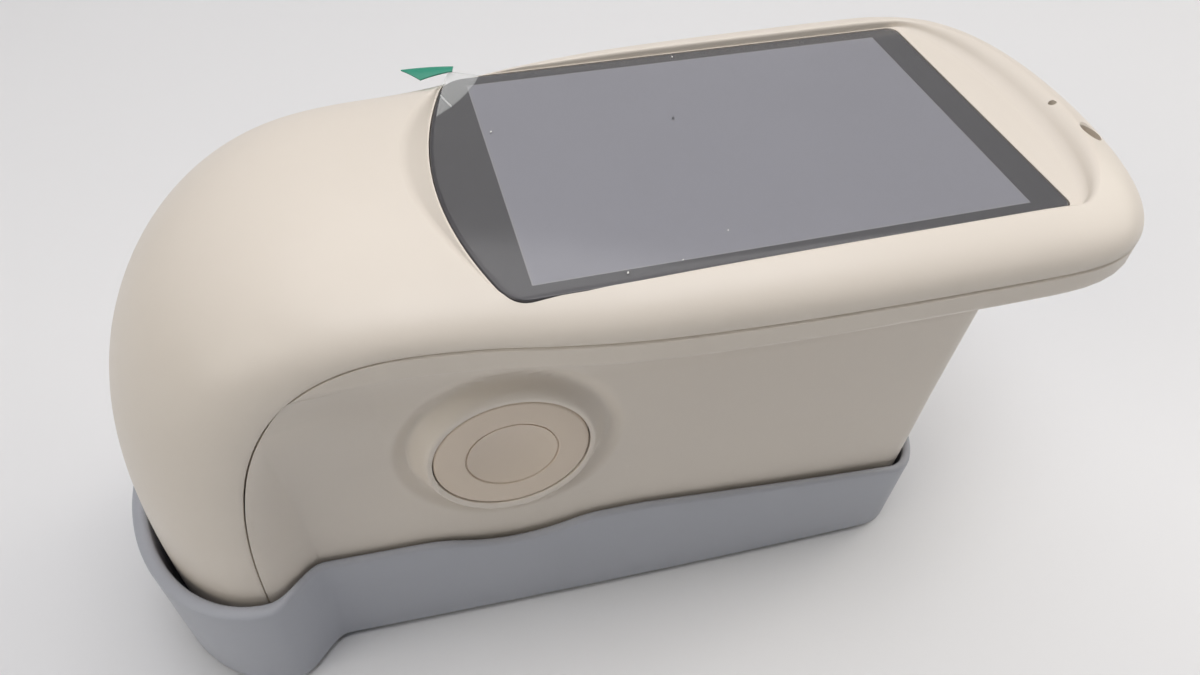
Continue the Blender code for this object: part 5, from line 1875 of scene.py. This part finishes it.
@dataclass
class Studio:
    """A pale sweep under soft light from above and behind, and the camera as the photograph was taken."""

    floor_colour: Colour = (0.81, 0.815, 0.83)
    floor_roughness: float = 0.6
    floor_scale: float = 5.0
    floor_mottle: float = 0.03
    floor_half: float = 4.0
    sweep_y: float = 0.75
    sweep_radius: float = 0.5
    sweep_top: float = 1.6
    right: tuple[float, float, float] = (0.9630, -0.2681, 0.0286)
    down: tuple[float, float, float] = (-0.1755, -0.7036, -0.6886)
    forward: tuple[float, float, float] = (0.2047, 0.6581, -0.7246)
    seen_from: tuple[float, float, float] = (-0.05353, -0.10806, 0.07975)
    lens: float = 27.1
    sensor: float = 36.0
    nearest: float = 0.01
    glow: float = 0.05
    backdrop: float = 0.65
    sky: Colour = (1.0, 0.97, 0.94)
    fade: tuple[float, float] = (0.5, 1.5)
    aim: tuple[float, float, float] = (0.0, 0.0, 0.04)
    lights: tuple[SoftLight, ...] = (
        SoftLight("overhead", (0.10, 0.25, 0.95), (1.1, 0.9), 4.6, (1.0, 0.98, 0.99)),
        SoftLight("top", (0.05, -0.12, 1.00), (0.8, 0.4), 3.4, (0.98, 0.98, 1.0)),
        SoftLight("left", (-0.85, -0.35, 0.55), (0.6, 0.8), 2.6, (1.0, 0.95, 0.86)),
        SoftLight("right", (0.95, 0.10, 0.60), (0.7, 0.8), 3.8, (1.0, 0.95, 0.86)),
    )

    def seen(self, graph: Graph) -> Socket:
        """How strongly the backdrop shows: for the camera alone, so that it lights nothing."""
        camera_ray = graph.add("ShaderNodeLightPath").outputs["Is Camera Ray"]
        return graph.maths("MULTIPLY", camera_ray, self.backdrop)

    def floor_material(self) -> bpy.types.Material:
        """A matt pale floor that goes over into the backdrop far away.

        Returns:
            The material.
        """
        material, graph, shader = new_material("floor")
        place = graph.place()
        mottle = graph.noise(place, self.floor_scale, 2.0)
        bright = graph.scaled(mottle, self.floor_mottle, 1.0 - self.floor_mottle / 2)
        colour = graph.shaded(solid(self.floor_colour), bright)
        away = graph.add("ShaderNodeVectorMath", {"Vector": place}, operation="LENGTH").outputs["Value"]
        share = graph.ramp(away, *self.fade, interpolation_type="SMOOTHSTEP")
        far = graph.maths("MULTIPLY", share, self.seen(graph))
        graph.fill(shader, Base_Color=colour, Roughness=self.floor_roughness)
        graph.fill(shader, Emission_Color=solid(self.sky), Emission_Strength=far)
        return material

    def floor(self) -> bpy.types.Object:
        """A floor that runs up into a backdrop behind the object.

        Returns:
            The floor.
        """
        radius = self.sweep_radius
        profile = [(-self.floor_half, 0.0), (self.sweep_y, 0.0)]
        for turn in angles(QUARTER_TURN, 24)[1:]:
            profile.append((self.sweep_y + radius * math.sin(turn), radius - radius * math.cos(turn)))
        profile.append((self.sweep_y + radius, self.sweep_top))
        work = bmesh.new()
        ends = (-self.floor_half, self.floor_half)
        left, right = ([work.verts.new((x, y, z)) for y, z in profile] for x in ends)
        for i in range(len(profile) - 1):
            work.faces.new((left[i], right[i], right[i + 1], left[i + 1]))
        mesh = bpy.data.meshes.new("floor")
        work.to_mesh(mesh)
        work.free()
        mesh.shade_smooth()
        mesh.materials.append(self.floor_material())
        item = placed("floor", mesh)
        return item

    def camera(self) -> None:
        """Place the camera that sees the object as the photograph does."""
        data = bpy.data.cameras.new("camera")
        data.lens = self.lens
        data.sensor_width = self.sensor
        data.clip_start = self.nearest
        data.dof.use_dof = False
        item = bpy.data.objects.new("camera", data)
        axes = (Vector(self.right), -Vector(self.down), -Vector(self.forward))
        item.rotation_mode = "QUATERNION"
        item.rotation_quaternion = Matrix(axes).transposed().to_quaternion()
        item.location = DATUM + Vector(self.seen_from)
        bpy.context.scene.collection.objects.link(item)
        bpy.context.scene.camera = item

    def build(self) -> None:
        """Lay the floor, hang the lights and set the camera."""
        self.floor()
        for light in self.lights:
            light.hang(Vector(self.aim))
        world = bpy.data.worlds.new("studio")
        world.use_nodes = True
        graph = Graph(world.node_tree)
        strength = graph.maths("ADD", self.glow, self.seen(graph))
        graph.fill(world.node_tree.nodes["Background"], Color=solid(self.sky), Strength=strength)
        bpy.context.scene.world = world
        bpy.context.scene.view_settings.view_transform = "Standard"
        self.camera()


DUST = (
    (-0.03565, 0.01037), (-0.00843, -0.02047), (-0.02437, -0.02548),
    (-0.01651, -0.02478), (-0.00095, 0.02573),
)
LINT = ((-0.00689, 0.00769),)


def main() -> None:
    """Build the finishes, the pieces and the studio in order, and log how many faces each piece has."""
    logging.basicConfig(level=logging.INFO, format="%(name)s: %(message)s")
    finishes = Finishes()
    log.info("dressed %d plain solids", finishes.dress())
    pieces = [
        TopCover().build(finishes[Slot.SHELL]),
        GripHousing().build(finishes[Slot.SHELL]),
        DockShell().build(finishes[Slot.DOCK]),
        MeasureKey().build(finishes[Slot.KEY]),
        CoverGlass().build(finishes[Slot.GLASS]),
        *Film().build(finishes[Slot.FILM], finishes[Slot.TAB]),
        Specks(points=DUST).build(finishes.dust),
        Specks(points=LINT, size=0.00045, seed=2, name="lint", slot=Slot.BLACK).build(finishes.lint),
    ]
    for piece in pieces:
        log.info("%s: %d faces", piece.name, len(piece.data.polygons))
    Studio().build()


if __name__ == "__main__":
    main()
